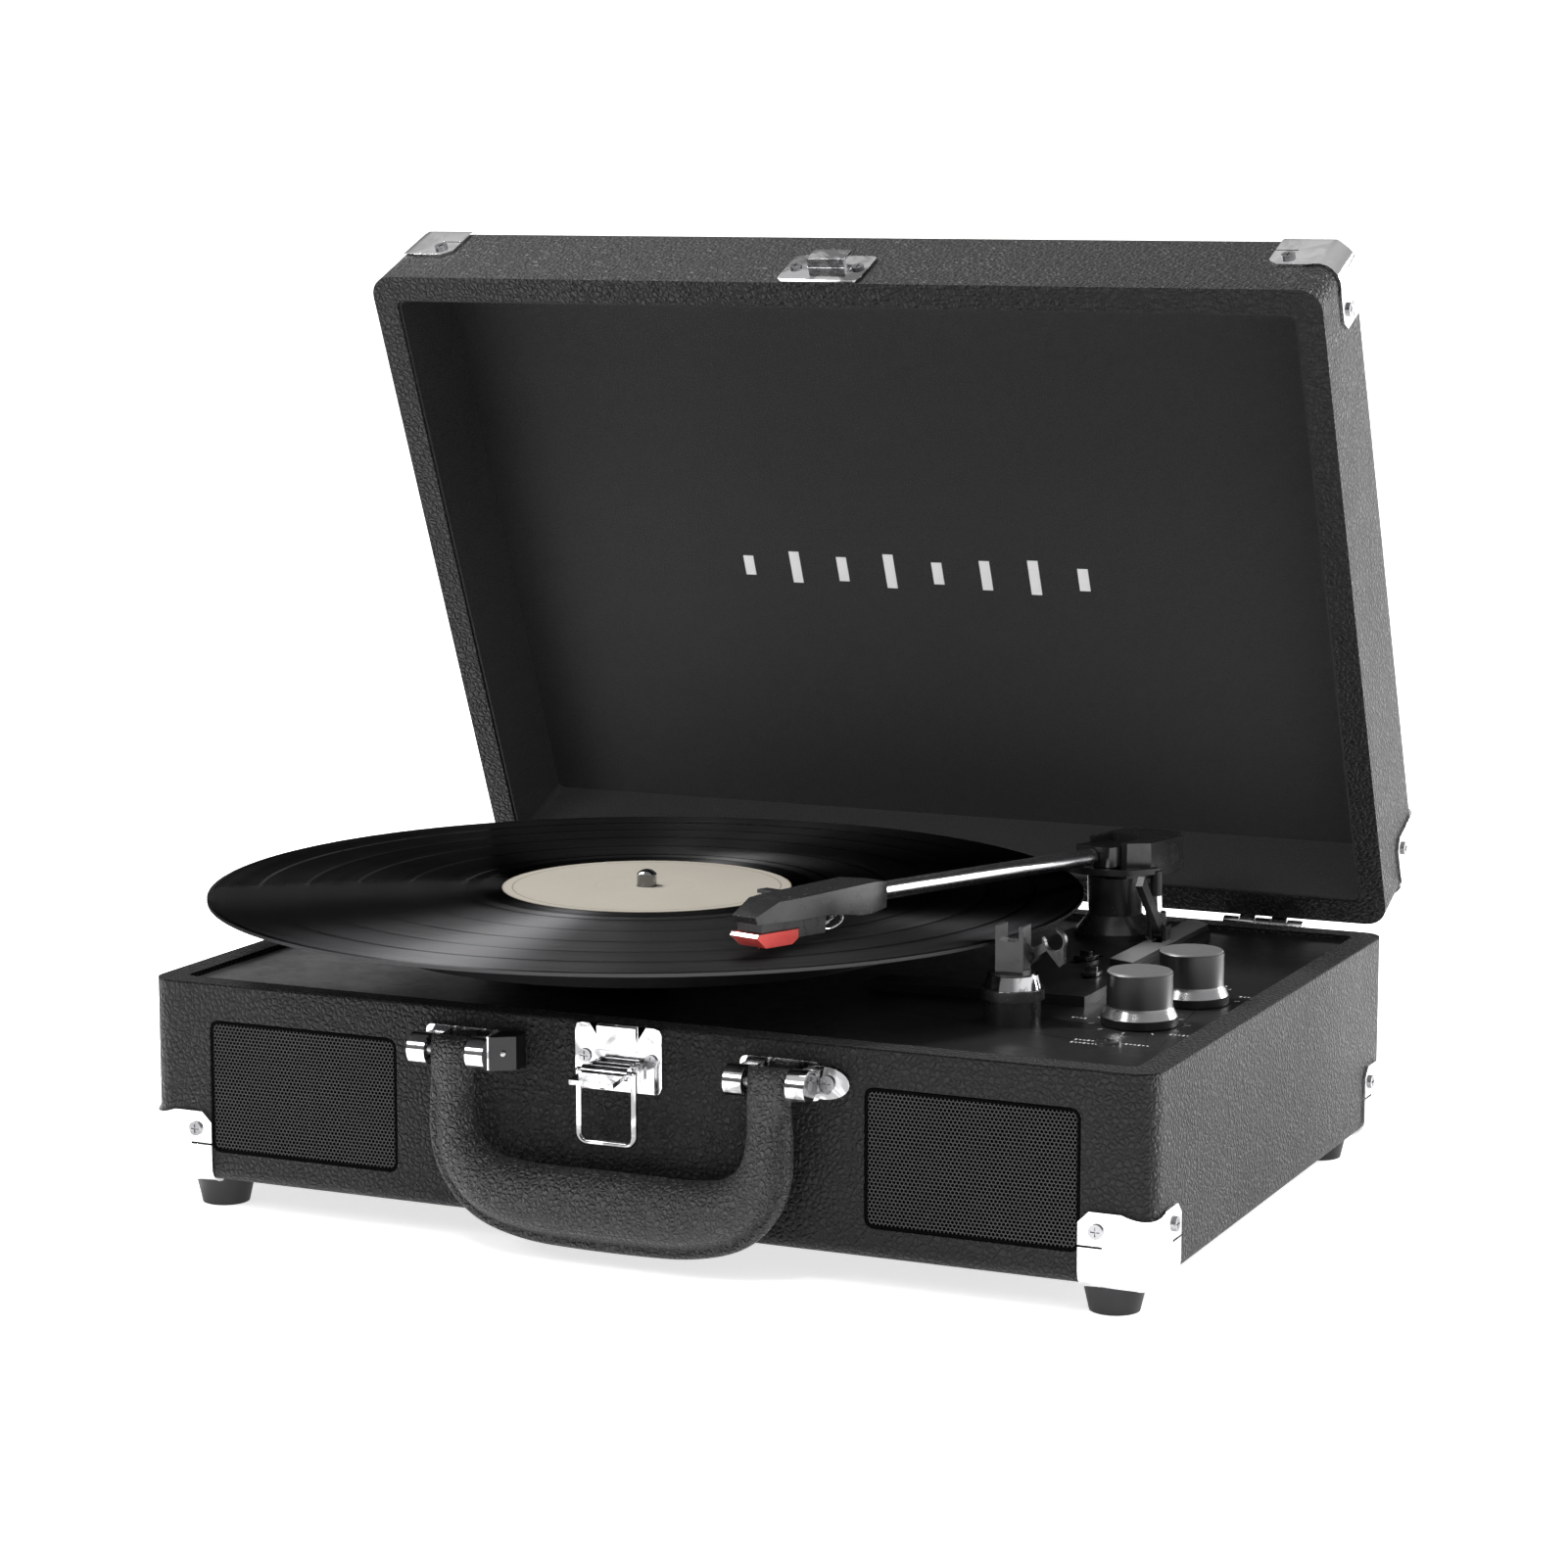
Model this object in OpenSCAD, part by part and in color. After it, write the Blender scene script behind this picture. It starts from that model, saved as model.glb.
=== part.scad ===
// Suitcase record player with its lid open and a 12 inch record on the platter.
// Millimetres. X is to the right, Y to the back, Z up.
// The origin is the centre of the case's underside.
// The lid, tonearm, handle and latch are drawn in the open pose.

/* [Case] */
// Width of the case, left to right
case_w = 358; // [340:1:380]
// Depth of the case, front to back
case_d = 248; // [236:1:262]
// Height of the base box without its feet
base_h = 68; // [60:1:80]
// Depth of the lid
lid_t = 42; // [40:1:50]
// Thickness of the box walls at the rim
rim = 9; // [7:0.5:12]
// Radius of the upright edges
edge_r = 8; // [5:0.5:12]
// Radius of the lower edges of the base and the outer edges of the lid
belly_r = 5; // [3:0.5:8]
// How far the lid is opened in the rest pose, in degrees
lid_open = 67; // [20:1:100]

/* [Corner caps] */
// How far a corner cap reaches along each face
cap_reach = 24; // [18:1:30]
// Thickness of the cap's sheet metal
cap_t = 1; // [0.6:0.1:1.5]
// How far the rounding of a lower corner reaches along each edge
corner_cut = 11; // [6:0.5:16]

/* [Platter and record] */
// Spindle position, left to right
spindle_x = -43; // [-60:1:-20]
// Spindle position, front to back
spindle_y = -20; // [-40:1:10]
// Radius of the platter
platter_r = 98; // [80:1:120]
// Height of the record's playing surface above the underside
record_z = 92.5; // [80:0.5:96]
// Radius of the record
record_r = 150.8; // [86:0.1:150.8]
// Radius of the spindle
spindle_r = 3.55; // [3.4:0.01:3.6]

/* [Tonearm] */
// Tonearm pivot position, left to right
arm_x = 95; // [80:1:115]
// Tonearm pivot position, front to back
arm_y = 74; // [60:1:90]
// Height of the tonearm pivot above the underside
arm_z = 99.1; // [90:0.1:104]
// Effective length, pivot to stylus
arm_len = 200; // [180:1:215]
// Angle of the arm inwards from straight ahead
arm_yaw = 14.2; // [-4:0.1:42]
// Angle the raised arm slopes upwards
arm_tilt = 2.5; // [0:0.1:6]
// Radius of the arm tube
tube_r = 3; // [2:0.1:4]

/* [Controls] */
// Radius of a knob's skirt
knob_r = 12.5; // [9:0.5:16]
// Height of a knob
knob_h = 17.3; // [12:0.1:22]

/* [Front hardware] */
// Width of a speaker grille
grille_w = 71.5; // [60:0.5:80]
// Height of a speaker grille
grille_h = 45; // [36:0.5:50]
// Distance of each grille's centre from the case's centre
grille_x = 119.5; // [100:0.5:130]
// Distance between the centres of the handle's two ends
handle_span = 113; // [90:1:130]
// Drop of the hanging handle below its pivot, to its lowest point
handle_drop = 61; // [45:1:66]

/* [Feet] */
// Height of a rubber foot
foot_h = 11; // [6:0.5:16]

/* [Hidden] */

small = 0.01;
run = 0.06;
half_w = case_w/2;
half_d = case_d/2;
ledge = 3;
in_w = case_w - 2*rim;
in_d = case_d - 2*rim;
well_w = in_w - 2*ledge;
well_d = in_d - 2*ledge;
bottom_t = 4;
panel_w = 296;
deck_z = base_h - 1.5;
deck_t = 2.5;
deck_under = deck_z - deck_t;
lid_top_t = 4;
front_y = -half_d;
cut_len = 2*case_w;

// Hinges
hinge_x = 133;
hinge_w = 30;
hinge_y = half_d + 3.2;
hinge_z = base_h - 1;
knuckle_r = 2.6;
hinge_pin_r = 1.2;
leaf_t = 1.2;
leaf_h = 19;
knuckles = 5;
knuckle_w = hinge_w/knuckles;

// Platter stack, from the record down
record_t = 1.8;
mat_t = 2;
platter_h = 12;
mat_top = record_z - record_t;
platter_top = mat_top - mat_t;
platter_z = platter_top - platter_h;
ring_r = 60;
ring_h = 6.5;
ring_z = platter_z - ring_h;
hub_r = 12;
label_r = 50;
label_t = 0.15;
motor_reach = 78;
motor_dir = 140;
motor_x = spindle_x + motor_reach*cos(motor_dir);
motor_y = spindle_y + motor_reach*sin(motor_dir);
pulley_r = 5;
belt_t = 0.8;
belt_gap = 0.3;

// Latch, lever and bail
latch_x = -1.5;
latch_w = 31;
latch_h = 22;
plate_t = 1.2;
lever_y = front_y - 4.5;
lever_z = 54;
bail_arm = 5;
bail_len = 23;
bail_x = 9.8;
wire_r = 1.1;
barrel_r = 2.2;

// Handle
handle_x = -1;
handle_y = front_y - 9.5;
handle_z = 56;
end_w = 15;
ferrule_r = 5.3;
ferrule_w = 6.4;
handle_pin_r = 1.8;
grip_r = 8.5;

// Controls
volume_x = 147.5;
volume_y = -49;
function_x = 151.8;
function_y = -10.2;
stem_r = 3;
plinth_z = deck_z + 3.5;

// Arm rest and its clip
rest_x = 108.5;
rest_y = -60.9;
rest_top = 98;
post_w = 9.6;
post_d = 7;
fork_w = 2*tube_r + 0.5;
fork_z = 92.9;
rest_foot_h = 7.7;
rest_disc_h = 3.4;
rest_collar_z = deck_z + rest_foot_h + rest_disc_h;
clip_pin_x = rest_x + 4.4;
clip_pin_z = 87.3;
clip_pin_r = 1.2;
clip_reach = 9.6;
clip_angle = 34;
clip_t = 2.4;

// Lever that lowers the arm
cue_x = 116.5;
cue_y = 60;
cue_z = 75;

// A rectangle with rounded corners, as a polygon of flat sides
function round_rect(w, d, r, n = 6) = [
  for (c = [0:3])
    for (i = [0:n])
      let (a = 90*c + 90*i/n,
           sx = (c == 0 || c == 3) ? 1 : -1,
           sy = (c < 2) ? 1 : -1)
      [sx*(w/2 - r) + r*cos(a), sy*(d/2 - r) + r*sin(a)]
];

// A bar along Z with rounded upright edges
module rounded_bar(w, d, h, r, n = 6) {
  linear_extrude(h)
    polygon(round_rect(w, d, r, n));
}

// A box standing on Z = 0 with rounded upright edges and rounded lower edges
module rounded_tub(w, d, h, r, low_r, n = 6) {
  intersection() {
    rounded_bar(w, d, h, r, n);
    translate([0, cut_len/2, h])
      rotate([90, 0, 0])
        rounded_bar(w, 2*h, cut_len, low_r, n);
    translate([-cut_len/2, 0, h])
      rotate([90, 0, 90])
        rounded_bar(d, 2*h, cut_len, low_r, n);
  }
}

// The leather-covered block of the base, grown outwards by a margin
// Its four lower corners are rounded by a large sphere
module case_block(h, grow = 0) {
  reach = cap_reach;
  ball = sqrt(2*reach*reach + pow(reach - corner_cut, 2));
  difference() {
    translate([0, 0, -grow])
      rounded_tub(case_w + 2*grow, case_d + 2*grow, h + grow, edge_r + grow, belly_r + grow);
    for (sx = [-1, 1])
      for (sy = [-1, 1])
        scale([sx, sy, 1])
          difference() {
            translate([half_w - reach, half_d - reach, -reach])
              cube([2*reach, 2*reach, 2*reach]);
            translate([half_w - reach, half_d - reach, reach])
              sphere(r = ball + grow, $fn = 48);
          }
  }
}

// Places things drawn on the closed lid where the open lid is
module on_open_lid() {
  translate([0, hinge_y, hinge_z])
    rotate([-lid_open, 0, 0])
      translate([0, -hinge_y, -hinge_z])
        children();
}

// Turns a drawing made with the arm along -Y into the arm's direction
module along_arm() {
  translate([arm_x, arm_y, arm_z])
    rotate([0, 0, -arm_yaw])
      children();
}

// The same, and sloped upwards with the raised arm
module along_raised_arm() {
  along_arm()
    rotate([-arm_tilt, 0, 0])
      children();
}

// A cross-head screw standing on Z = 0 with its shank below
module cross_screw(head_r = 2.4, head_h = 0.9, shank_r = 1.1, shank = 7) {
  difference() {
    union() {
      cylinder(r = head_r, h = head_h, $fn = 24);
      translate([0, 0, -shank])
        cylinder(r = shank_r, h = shank + small, $fn = 24);
    }
    for (turn = [0, 90])
      rotate([0, 0, turn])
        translate([-1.5, -0.25, head_h - 0.5])
          cube([3, 0.5, 1]);
  }
}

// ---- Case ----

module base_shell() {
  color([0.07, 0.07, 0.075])
  difference() {
    case_block(base_h);
    translate([0, 0, bottom_t])
      rounded_bar(well_w, well_d, base_h, 2, 2);
    translate([0, 0, -1])
      rounded_bar(panel_w + 0.4, well_d - 8, base_h, 2, 2);
    translate([0, 0, deck_under])
      rounded_bar(in_w, in_d, base_h, 3, 3);
    for (side = [-1, 1]) {
      translate([side*grille_x, front_y + 1.5, 33])
        rotate([90, 0, 0])
          rounded_bar(grille_w + 0.4, grille_h + 0.4, 5, 3.2, 3);
      translate([side*grille_x, front_y + 20, 33])
        rotate([90, 0, 0])
          rounded_bar(grille_w - 10, grille_h - 8, 30, 4, 3);
    }
    translate([95, half_d + 5, 30])
      rotate([90, 0, 0])
        rounded_bar(76, 22, 30, 2, 2);
    translate([95, half_d + 5, 30])
      rotate([90, 0, 0])
        rounded_bar(84.4, 30.4, 6.5, 2, 2);
  }
}

module bottom_panel() {
  color([0.12, 0.11, 0.1])
  difference() {
    rounded_bar(panel_w, well_d - 8.4, bottom_t, 2, 2);
    for (i = [-3:3])
      translate([i*12 - 60, 40, -1])
        rounded_bar(4, 34, 8, 1.9, 3);
  }
}

module deck_panel() {
  color([0.02, 0.02, 0.022])
  difference() {
    union() {
      translate([0, 0, deck_under])
        rounded_bar(in_w - 0.6, in_d - 0.6, deck_t, 2.8, 3);
      // Boss that holds the spindle
      translate([spindle_x, spindle_y, deck_under - 12])
        cylinder(r = 9, h = 12 + deck_t + 1.5, $fn = 32);
    }
    translate([spindle_x, spindle_y, 0])
      cylinder(r = spindle_r + 0.03, h = base_h*2, $fn = 32);
    translate([motor_x, motor_y, 0])
      cylinder(r = pulley_r + 2, h = base_h*2, $fn = 32);
    translate([volume_x, volume_y, 0])
      cylinder(r = 4, h = base_h*2, $fn = 32);
    translate([function_x, function_y, 0])
      cylinder(r = 4, h = base_h*2, $fn = 32);
    translate([148, -80, 0])
      cylinder(r = 3.05, h = base_h*2, $fn = 32);
  }
}

module feet() {
  color([0.05, 0.05, 0.05])
  for (sx = [-1, 1])
    for (sy = [-1, 1])
      translate([sx*161, sy*107, -foot_h])
        difference() {
          cylinder(r1 = 8, r2 = 10.5, h = foot_h - 0.02, $fn = 36);
          translate([0, 0, -1])
            cylinder(r = 3.2, h = 6, $fn = 24);
        }
}

module base_screws() {
  color([0.75, 0.75, 0.77])
  union() {
    for (sx = [-1, 1])
      for (sy = [-1, 1]) {
        translate([sx*(half_w - 18), sy*(half_d + cap_t), 18])
          rotate([-90*sy, 0, 0])
            cross_screw();
        translate([sx*(half_w + cap_t), sy*(half_d - 18), 18])
          rotate([0, 90*sx, 0])
            cross_screw();
        // Screw inside the hollow of each foot
        translate([sx*161, sy*107, 5 - foot_h])
          rotate([180, 0, 0])
            cross_screw(2.8, 1.2, 1.3, 12);
        // Hinge leaf screws
        for (k = [-1, 1])
          if (sy > 0)
            translate([sx*hinge_x + k*9, half_d + leaf_t, 54])
              rotate([-90, 0, 0])
                cross_screw(2.2, 0.8, 1, 7);
      }
    for (k = [-1, 1])
      translate([latch_x + k*11.8, front_y - plate_t, 57])
        rotate([90, 0, 0])
          cross_screw(2.2, 0.8, 1, 7);
    // Screw in the chrome tab of the right handle bracket
    translate([handle_x + handle_span/2 + 16.5, front_y - 2.2, handle_z])
      rotate([90, 0, 0])
        cross_screw(2.6, 0.8, 1.1, 8);
    // Screws of the rear connector plate
    for (k = [-1, 1])
      translate([95 + k*38.5, half_d + 0.1, 30])
        rotate([-90, 0, 0])
          cross_screw(2, 0.7, 1, 7);
  }
}

// The sheet-metal cap of the corner at +X, +Y, in the place where it belongs
module corner_cap() {
  lobe = cap_reach;
  flange = 6;
  slit_z = 12.6;
  bevel = 5;
  difference() {
    case_block(2*lobe, cap_t);
    case_block(3*lobe, 0.02);
    // Outline of the cap on the two faces
    translate([-2*half_w, -2*half_d, -lobe])
      cube([3*half_w - lobe, 4*half_d, 4*lobe]);
    translate([-2*half_w, -2*half_d, -lobe])
      cube([4*half_w, 3*half_d - lobe, 4*lobe]);
    translate([0, 0, lobe])
      cube([case_w, case_d, 2*lobe]);
    // Leaves only a narrow flange under the box
    translate([half_w - lobe - flange, half_d - lobe - flange, -lobe])
      cube([lobe, lobe, lobe + flange]);
    // Dip between the two lobes
    translate([half_w - 2, half_d - 2, lobe + 14.6])
      rotate([0, 90, 45])
        cylinder(r = 16.5, h = 4*lobe, center = true, $fn = 48);
    // Bevelled ends of the lobes
    translate([half_w - lobe, half_d, lobe])
      rotate([90, 45, 0])
        cube([bevel, bevel, 12], center = true);
    translate([half_w, half_d - lobe, lobe])
      rotate([0, 90, 0])
        rotate([0, 0, 45])
          cube([bevel, bevel, 12], center = true);
    // Slits where the sheet was folded
    translate([half_w - lobe - 1, half_d - 1, slit_z])
      cube([9, 6, 0.7]);
    translate([half_w - 1, half_d - lobe - 1, slit_z])
      cube([6, 9, 0.7]);
  }
}

module cap_at(sx, sy) {
  scale([sx, sy, 1])
    corner_cap();
}

module base_corner_fl() { color([0.8, 0.8, 0.82]) cap_at(-1, -1); }
module base_corner_fr() { color([0.8, 0.8, 0.82]) cap_at(1, -1); }
module base_corner_bl() { color([0.8, 0.8, 0.82]) cap_at(-1, 1); }
module base_corner_br() { color([0.8, 0.8, 0.82]) cap_at(1, 1); }

module grille(side) {
  pitch = 5;
  hole_r = 1.5;
  color([0.05, 0.05, 0.055])
  translate([side*grille_x, front_y + 1.3, 33])
    rotate([90, 0, 0])
      difference() {
        rounded_bar(grille_w, grille_h, 1, 3, 3);
        for (row = [-3:3])
          for (col = [-5:5])
            translate([col*pitch*1.15 + (row % 2 == 0 ? 0 : pitch*0.57), row*pitch, -1])
              cylinder(r = hole_r, h = 4, $fn = 6);
      }
}

module grille_l() { grille(-1); }
module grille_r() { grille(1); }

module speaker(side) {
  color([0.15, 0.15, 0.16])
  translate([side*grille_x, front_y + 12.3, 33])
    rotate([-90, 0, 0])
      difference() {
        union() {
          rounded_bar(72, 48, 2.5, 4, 3);
          translate([0, 0, 2])
            cylinder(r1 = 22, r2 = 14, h = 14, $fn = 40);
          translate([0, 0, 15])
            cylinder(r = 16, h = 9, $fn = 40);
        }
        translate([0, 0, -1])
          cylinder(r1 = 20.5, r2 = 7, h = 12, $fn = 40);
      }
}

module speaker_l() { speaker(-1); }
module speaker_r() { speaker(1); }

// ---- Hinges ----

// One leaf and its knuckles, drawn on the box side (up = -1) or the lid side (up = 1)
module hinge_leaf(up) {
  first = up > 0 ? 1 : 0;
  difference() {
    union() {
      translate([-hinge_w/2, half_d + 0.01, up > 0 ? hinge_z + 3.2 : hinge_z - leaf_h])
        cube([hinge_w, leaf_t, leaf_h - 3.2]);
      for (k = [first:2:knuckles - 1])
        translate([-hinge_w/2 + k*knuckle_w + 0.15, 0, 0]) {
          translate([0, hinge_y, hinge_z])
            rotate([0, 90, 0])
              cylinder(r = knuckle_r, h = knuckle_w - 0.3, $fn = 32);
          translate([0, half_d + 0.01, up > 0 ? hinge_z : hinge_z - 4])
            cube([knuckle_w - 0.3, leaf_t, 4]);
        }
    }
    translate([-hinge_w, hinge_y, hinge_z])
      rotate([0, 90, 0])
        cylinder(r = hinge_pin_r + run, h = 2*hinge_w, $fn = 32);
  }
}

module hinge_base_leaves() {
  color([0.75, 0.75, 0.77])
  for (side = [-1, 1])
    translate([side*hinge_x, 0, 0])
      hinge_leaf(-1);
}

module hinge_lid_leaves() {
  color([0.75, 0.75, 0.77])
  on_open_lid()
    for (side = [-1, 1])
      translate([side*hinge_x, 0, 0])
        hinge_leaf(1);
}

module pivot_pins() {
  color([0.7, 0.7, 0.72])
  union() {
    for (side = [-1, 1]) {
      translate([side*hinge_x - hinge_w/2 + 0.3, hinge_y, hinge_z])
        rotate([0, 90, 0])
          cylinder(r = hinge_pin_r, h = hinge_w - 0.6, $fn = 32);
      translate([handle_x + side*handle_span/2 - end_w/2 - ferrule_w, handle_y, handle_z])
        rotate([0, 90, 0])
          cylinder(r = handle_pin_r, h = end_w + 2*ferrule_w, $fn = 32);
    }
    translate([latch_x - 8.2, lever_y, lever_z])
      rotate([0, 90, 0])
        cylinder(r = 1, h = 16.4, $fn = 32);
  }
}

// ---- Latch ----

module latch_plate() {
  ear_x = 7.3;
  color([0.8, 0.8, 0.82])
  translate([latch_x, 0, 0])
    difference() {
      union() {
        translate([0, front_y, base_h - latch_h/2])
          rotate([90, 0, 0])
            rounded_bar(latch_w, latch_h, plate_t, 2.5, 3);
        // Raised tongue above the lever
        translate([-7, front_y - 2.6, base_h - 8.5])
          cube([14, 2.6, 8]);
        for (side = [-1, 1])
          translate([side*ear_x - 0.7, lever_y - 1.6, lever_z - 4])
            cube([1.4, front_y - lever_y + 1.4, 5.9]);
      }
      translate([-20, lever_y, lever_z])
        rotate([0, 90, 0])
          cylinder(r = 1, h = 40, $fn = 32);
    }
}

module latch_lever() {
  knuckle = 6.2;
  blade_w = 16.2;
  color([0.82, 0.82, 0.84])
  translate([latch_x, lever_y, lever_z])
    difference() {
      union() {
        rotate([0, 90, 0])
          cylinder(r = barrel_r, h = 2*knuckle, center = true, $fn = 32);
        translate([-knuckle + 0.3, -bail_arm, -1])
          cube([2*knuckle - 0.6, bail_arm, 2]);
        translate([0, -bail_arm, 0])
          rotate([0, 90, 0])
            cylinder(r = barrel_r, h = blade_w, center = true, $fn = 32);
        // Blade that the thumb lifts
        translate([0, -bail_arm, 0])
          rotate([8, 0, 0])
            translate([-blade_w/2 + 0.3, -11, -0.8])
              cube([blade_w - 0.6, 11, 1.6]);
      }
      rotate([0, 90, 0])
        cylinder(r = 1 + run, h = 40, center = true, $fn = 32);
      for (side = [-1, 1])
        translate([side*6.6, -bail_arm, 0])
          rotate([0, 90, 0])
            cylinder(r = wire_r + run, h = 4, center = true, $fn = 32);
    }
}

module latch_bail() {
  bend = 3;
  low = -bail_len;
  color([0.8, 0.8, 0.82])
  translate([latch_x, lever_y - bail_arm, lever_z])
    union() {
      for (side = [-1, 1])
        scale([side, 1, 1]) {
          translate([5.2, 0, 0])
            rotate([0, 90, 0])
              cylinder(r = wire_r, h = bail_x - 5.2, $fn = 24);
          translate([bail_x, 0, 0])
            sphere(r = wire_r + 0.05, $fn = 24);
          translate([bail_x, 0, low + bend])
            cylinder(r = wire_r, h = bail_len - bend, $fn = 24);
          translate([bail_x - bend, 0, low + bend])
            rotate([90, 0, 0])
              rotate_extrude(angle = -90, $fn = 24)
                translate([bend, 0])
                  circle(r = wire_r, $fn = 24);
        }
      translate([-bail_x + bend, 0, low])
        rotate([0, 90, 0])
          cylinder(r = wire_r, h = 2*(bail_x - bend), $fn = 24);
    }
}

// ---- Handle ----

// Plate and two ferrules that hold one end of the handle
module handle_bracket() {
  difference() {
    union() {
      translate([0, front_y, handle_z])
        rotate([90, 0, 0])
          rounded_bar(end_w + 2*ferrule_w, 12.6, 1.4, 2, 3);
      for (side = [-1, 1]) {
        translate([side*(end_w/2 + ferrule_w/2), handle_y, handle_z])
          rotate([0, 90, 0])
            cylinder(r = ferrule_r, h = ferrule_w, center = true, $fn = 36);
        translate([side*(end_w/2 + ferrule_w/2) - ferrule_w/2 + 0.5, handle_y, handle_z - 3.6])
          cube([ferrule_w - 1, front_y - handle_y - 0.5, 7.2]);
      }
    }
    translate([0, handle_y, handle_z])
      rotate([0, 90, 0])
        cylinder(r = handle_pin_r, h = 60, center = true, $fn = 32);
  }
}

module handle_bracket_l() {
  color([0.78, 0.78, 0.8])
  translate([handle_x - handle_span/2, 0, 0])
    union() {
      handle_bracket();
      // Tapered block at the inner side
      translate([end_w/2 + ferrule_w - 0.5, front_y, handle_z - 5])
        linear_extrude(11)
          polygon([[0, 0], [0, -10.5], [2, -11], [8.6, -6.5], [8.6, 0]]);
    }
}

module handle_bracket_r() {
  tab_x = end_w/2 + ferrule_w + 1.2;
  color([0.78, 0.78, 0.8])
  translate([handle_x + handle_span/2, 0, 0])
    union() {
      handle_bracket();
      // Oval tab at the outer side
      translate([tab_x, front_y, handle_z])
        rotate([90, 0, 0])
          linear_extrude(2.2)
            polygon([for (i = [0:23]) [9*cos(15*i), 5.3*sin(15*i)]]);
    }
}

module handle_grip() {
  leg_x = handle_span/2;
  // Centre line of one half of the grip: distance out, drop, half-width and half-thickness
  path = [
    [leg_x, -7, 7.4, 5.2], [leg_x + 0.4, -18, 7.6, 6.2], [leg_x - 0.6, -28, 8.6, 7.2],
    [leg_x - 5, -37, 10.2, 7.8], [leg_x - 14, -44, 11.8, grip_r], [leg_x - 28, -47, 12.8, grip_r],
    [0, -handle_drop + 13.4, 13.4, grip_r]
  ];
  color([0.07, 0.07, 0.075])
  translate([handle_x, handle_y, handle_z])
    difference() {
      union() {
        for (side = [-1, 1]) {
          for (i = [0:len(path) - 2])
            hull()
              for (k = [i, i + 1])
                translate([side*path[k][0], 0, path[k][1]])
                  scale([path[k][2]/10, path[k][3]/10, path[k][2]/10])
                    sphere(r = 10, $fn = 20);
          // Loop around the pivot pin
          translate([side*leg_x, 0, 0])
            rotate([0, 90, 0])
              cylinder(r = 5.1, h = end_w - 0.6, center = true, $fn = 32);
          translate([side*leg_x - end_w/2 + 0.3, -4.6, -12])
            cube([end_w - 0.6, 9.2, 12]);
        }
      }
      rotate([0, 90, 0])
        cylinder(r = handle_pin_r + run, h = 2*case_w, center = true, $fn = 32);
    }
}

// ---- Platter, record and drive ----

module spindle() {
  neck_z = record_z + 0.4;
  color([0.8, 0.8, 0.82])
  translate([spindle_x, spindle_y, 0])
    union() {
      translate([0, 0, deck_under - 12])
        cylinder(r = spindle_r, h = neck_z - deck_under + 12, $fn = 36);
      translate([0, 0, neck_z])
        intersection() {
          cylinder(r = spindle_r - 0.05, h = 6, $fn = 36);
          translate([0, 0, 1.2])
            sphere(r = 4.4, $fn = 36);
        }
    }
}

module platter() {
  color([0.06, 0.06, 0.065])
  translate([spindle_x, spindle_y, 0])
    rotate_extrude($fn = 96)
      polygon([
        [spindle_r + run, deck_z + 1.8], [hub_r, deck_z + 1.8], [hub_r, platter_top - 4],
        [ring_r - 3, platter_top - 4], [ring_r - 3, ring_z], [ring_r, ring_z],
        [ring_r, platter_top - 4], [platter_r - 3, platter_top - 4], [platter_r - 3, platter_z],
        [platter_r, platter_z], [platter_r, platter_top - 1], [platter_r - 1, platter_top],
        [spindle_r + run, platter_top]
      ]);
}

module platter_mat() {
  color([0.1, 0.1, 0.1])
  translate([spindle_x, spindle_y, platter_top])
    difference() {
      cylinder(r = platter_r - 2, h = mat_t, $fn = 96);
      translate([0, 0, -1])
        cylinder(r = spindle_r + 0.3, h = mat_t + 2, $fn = 36);
    }
}

module vinyl_record() {
  bead = 0.35;
  color([0.02, 0.02, 0.02])
  translate([spindle_x, spindle_y, mat_top])
    rotate_extrude($fn = 180)
      polygon([
        [spindle_r + run, 0], [record_r - 2, 0], [record_r, bead],
        [record_r, record_t - bead], [record_r - 2, record_t], [spindle_r + run, record_t]
      ]);
}

module record_label() {
  color([0.8, 0.76, 0.68])
  translate([spindle_x, spindle_y, record_z])
    difference() {
      cylinder(r = label_r, h = label_t, $fn = 96);
      translate([0, 0, -1])
        cylinder(r = spindle_r + 0.2, h = 3, $fn = 36);
    }
}

module motor() {
  color([0.6, 0.6, 0.62])
  translate([motor_x, motor_y, 0])
    difference() {
      union() {
        translate([0, 0, deck_under - 26])
          cylinder(r = 15.5, h = 24.5, $fn = 40);
        translate([0, 0, deck_under - 1.5])
          rounded_bar(46, 34, 1.5, 4, 3);
      }
      translate([0, 0, deck_under - 12])
        cylinder(r = 1 + run, h = 20, $fn = 24);
    }
}

module motor_pulley() {
  color([0.8, 0.7, 0.45])
  translate([motor_x, motor_y, 0])
    union() {
      translate([0, 0, deck_under - 11])
        cylinder(r = 1, h = ring_z - deck_under + 11.5, $fn = 24);
      translate([0, 0, ring_z + 0.4])
        cylinder(r = pulley_r, h = ring_h - 1, $fn = 32);
    }
}

module drive_belt() {
  color([0.03, 0.03, 0.03])
  translate([0, 0, ring_z + 1])
    difference() {
      linear_extrude(ring_h - 2)
        hull() {
          translate([spindle_x, spindle_y])
            circle(r = ring_r + belt_gap + belt_t, $fn = 96);
          translate([motor_x, motor_y])
            circle(r = pulley_r + belt_gap + belt_t, $fn = 32);
        }
      translate([0, 0, -1])
        linear_extrude(ring_h)
          hull() {
            translate([spindle_x, spindle_y])
              circle(r = ring_r + belt_gap, $fn = 96);
            translate([motor_x, motor_y])
              circle(r = pulley_r + belt_gap, $fn = 32);
          }
    }
}

// ---- Electronics ----

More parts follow.
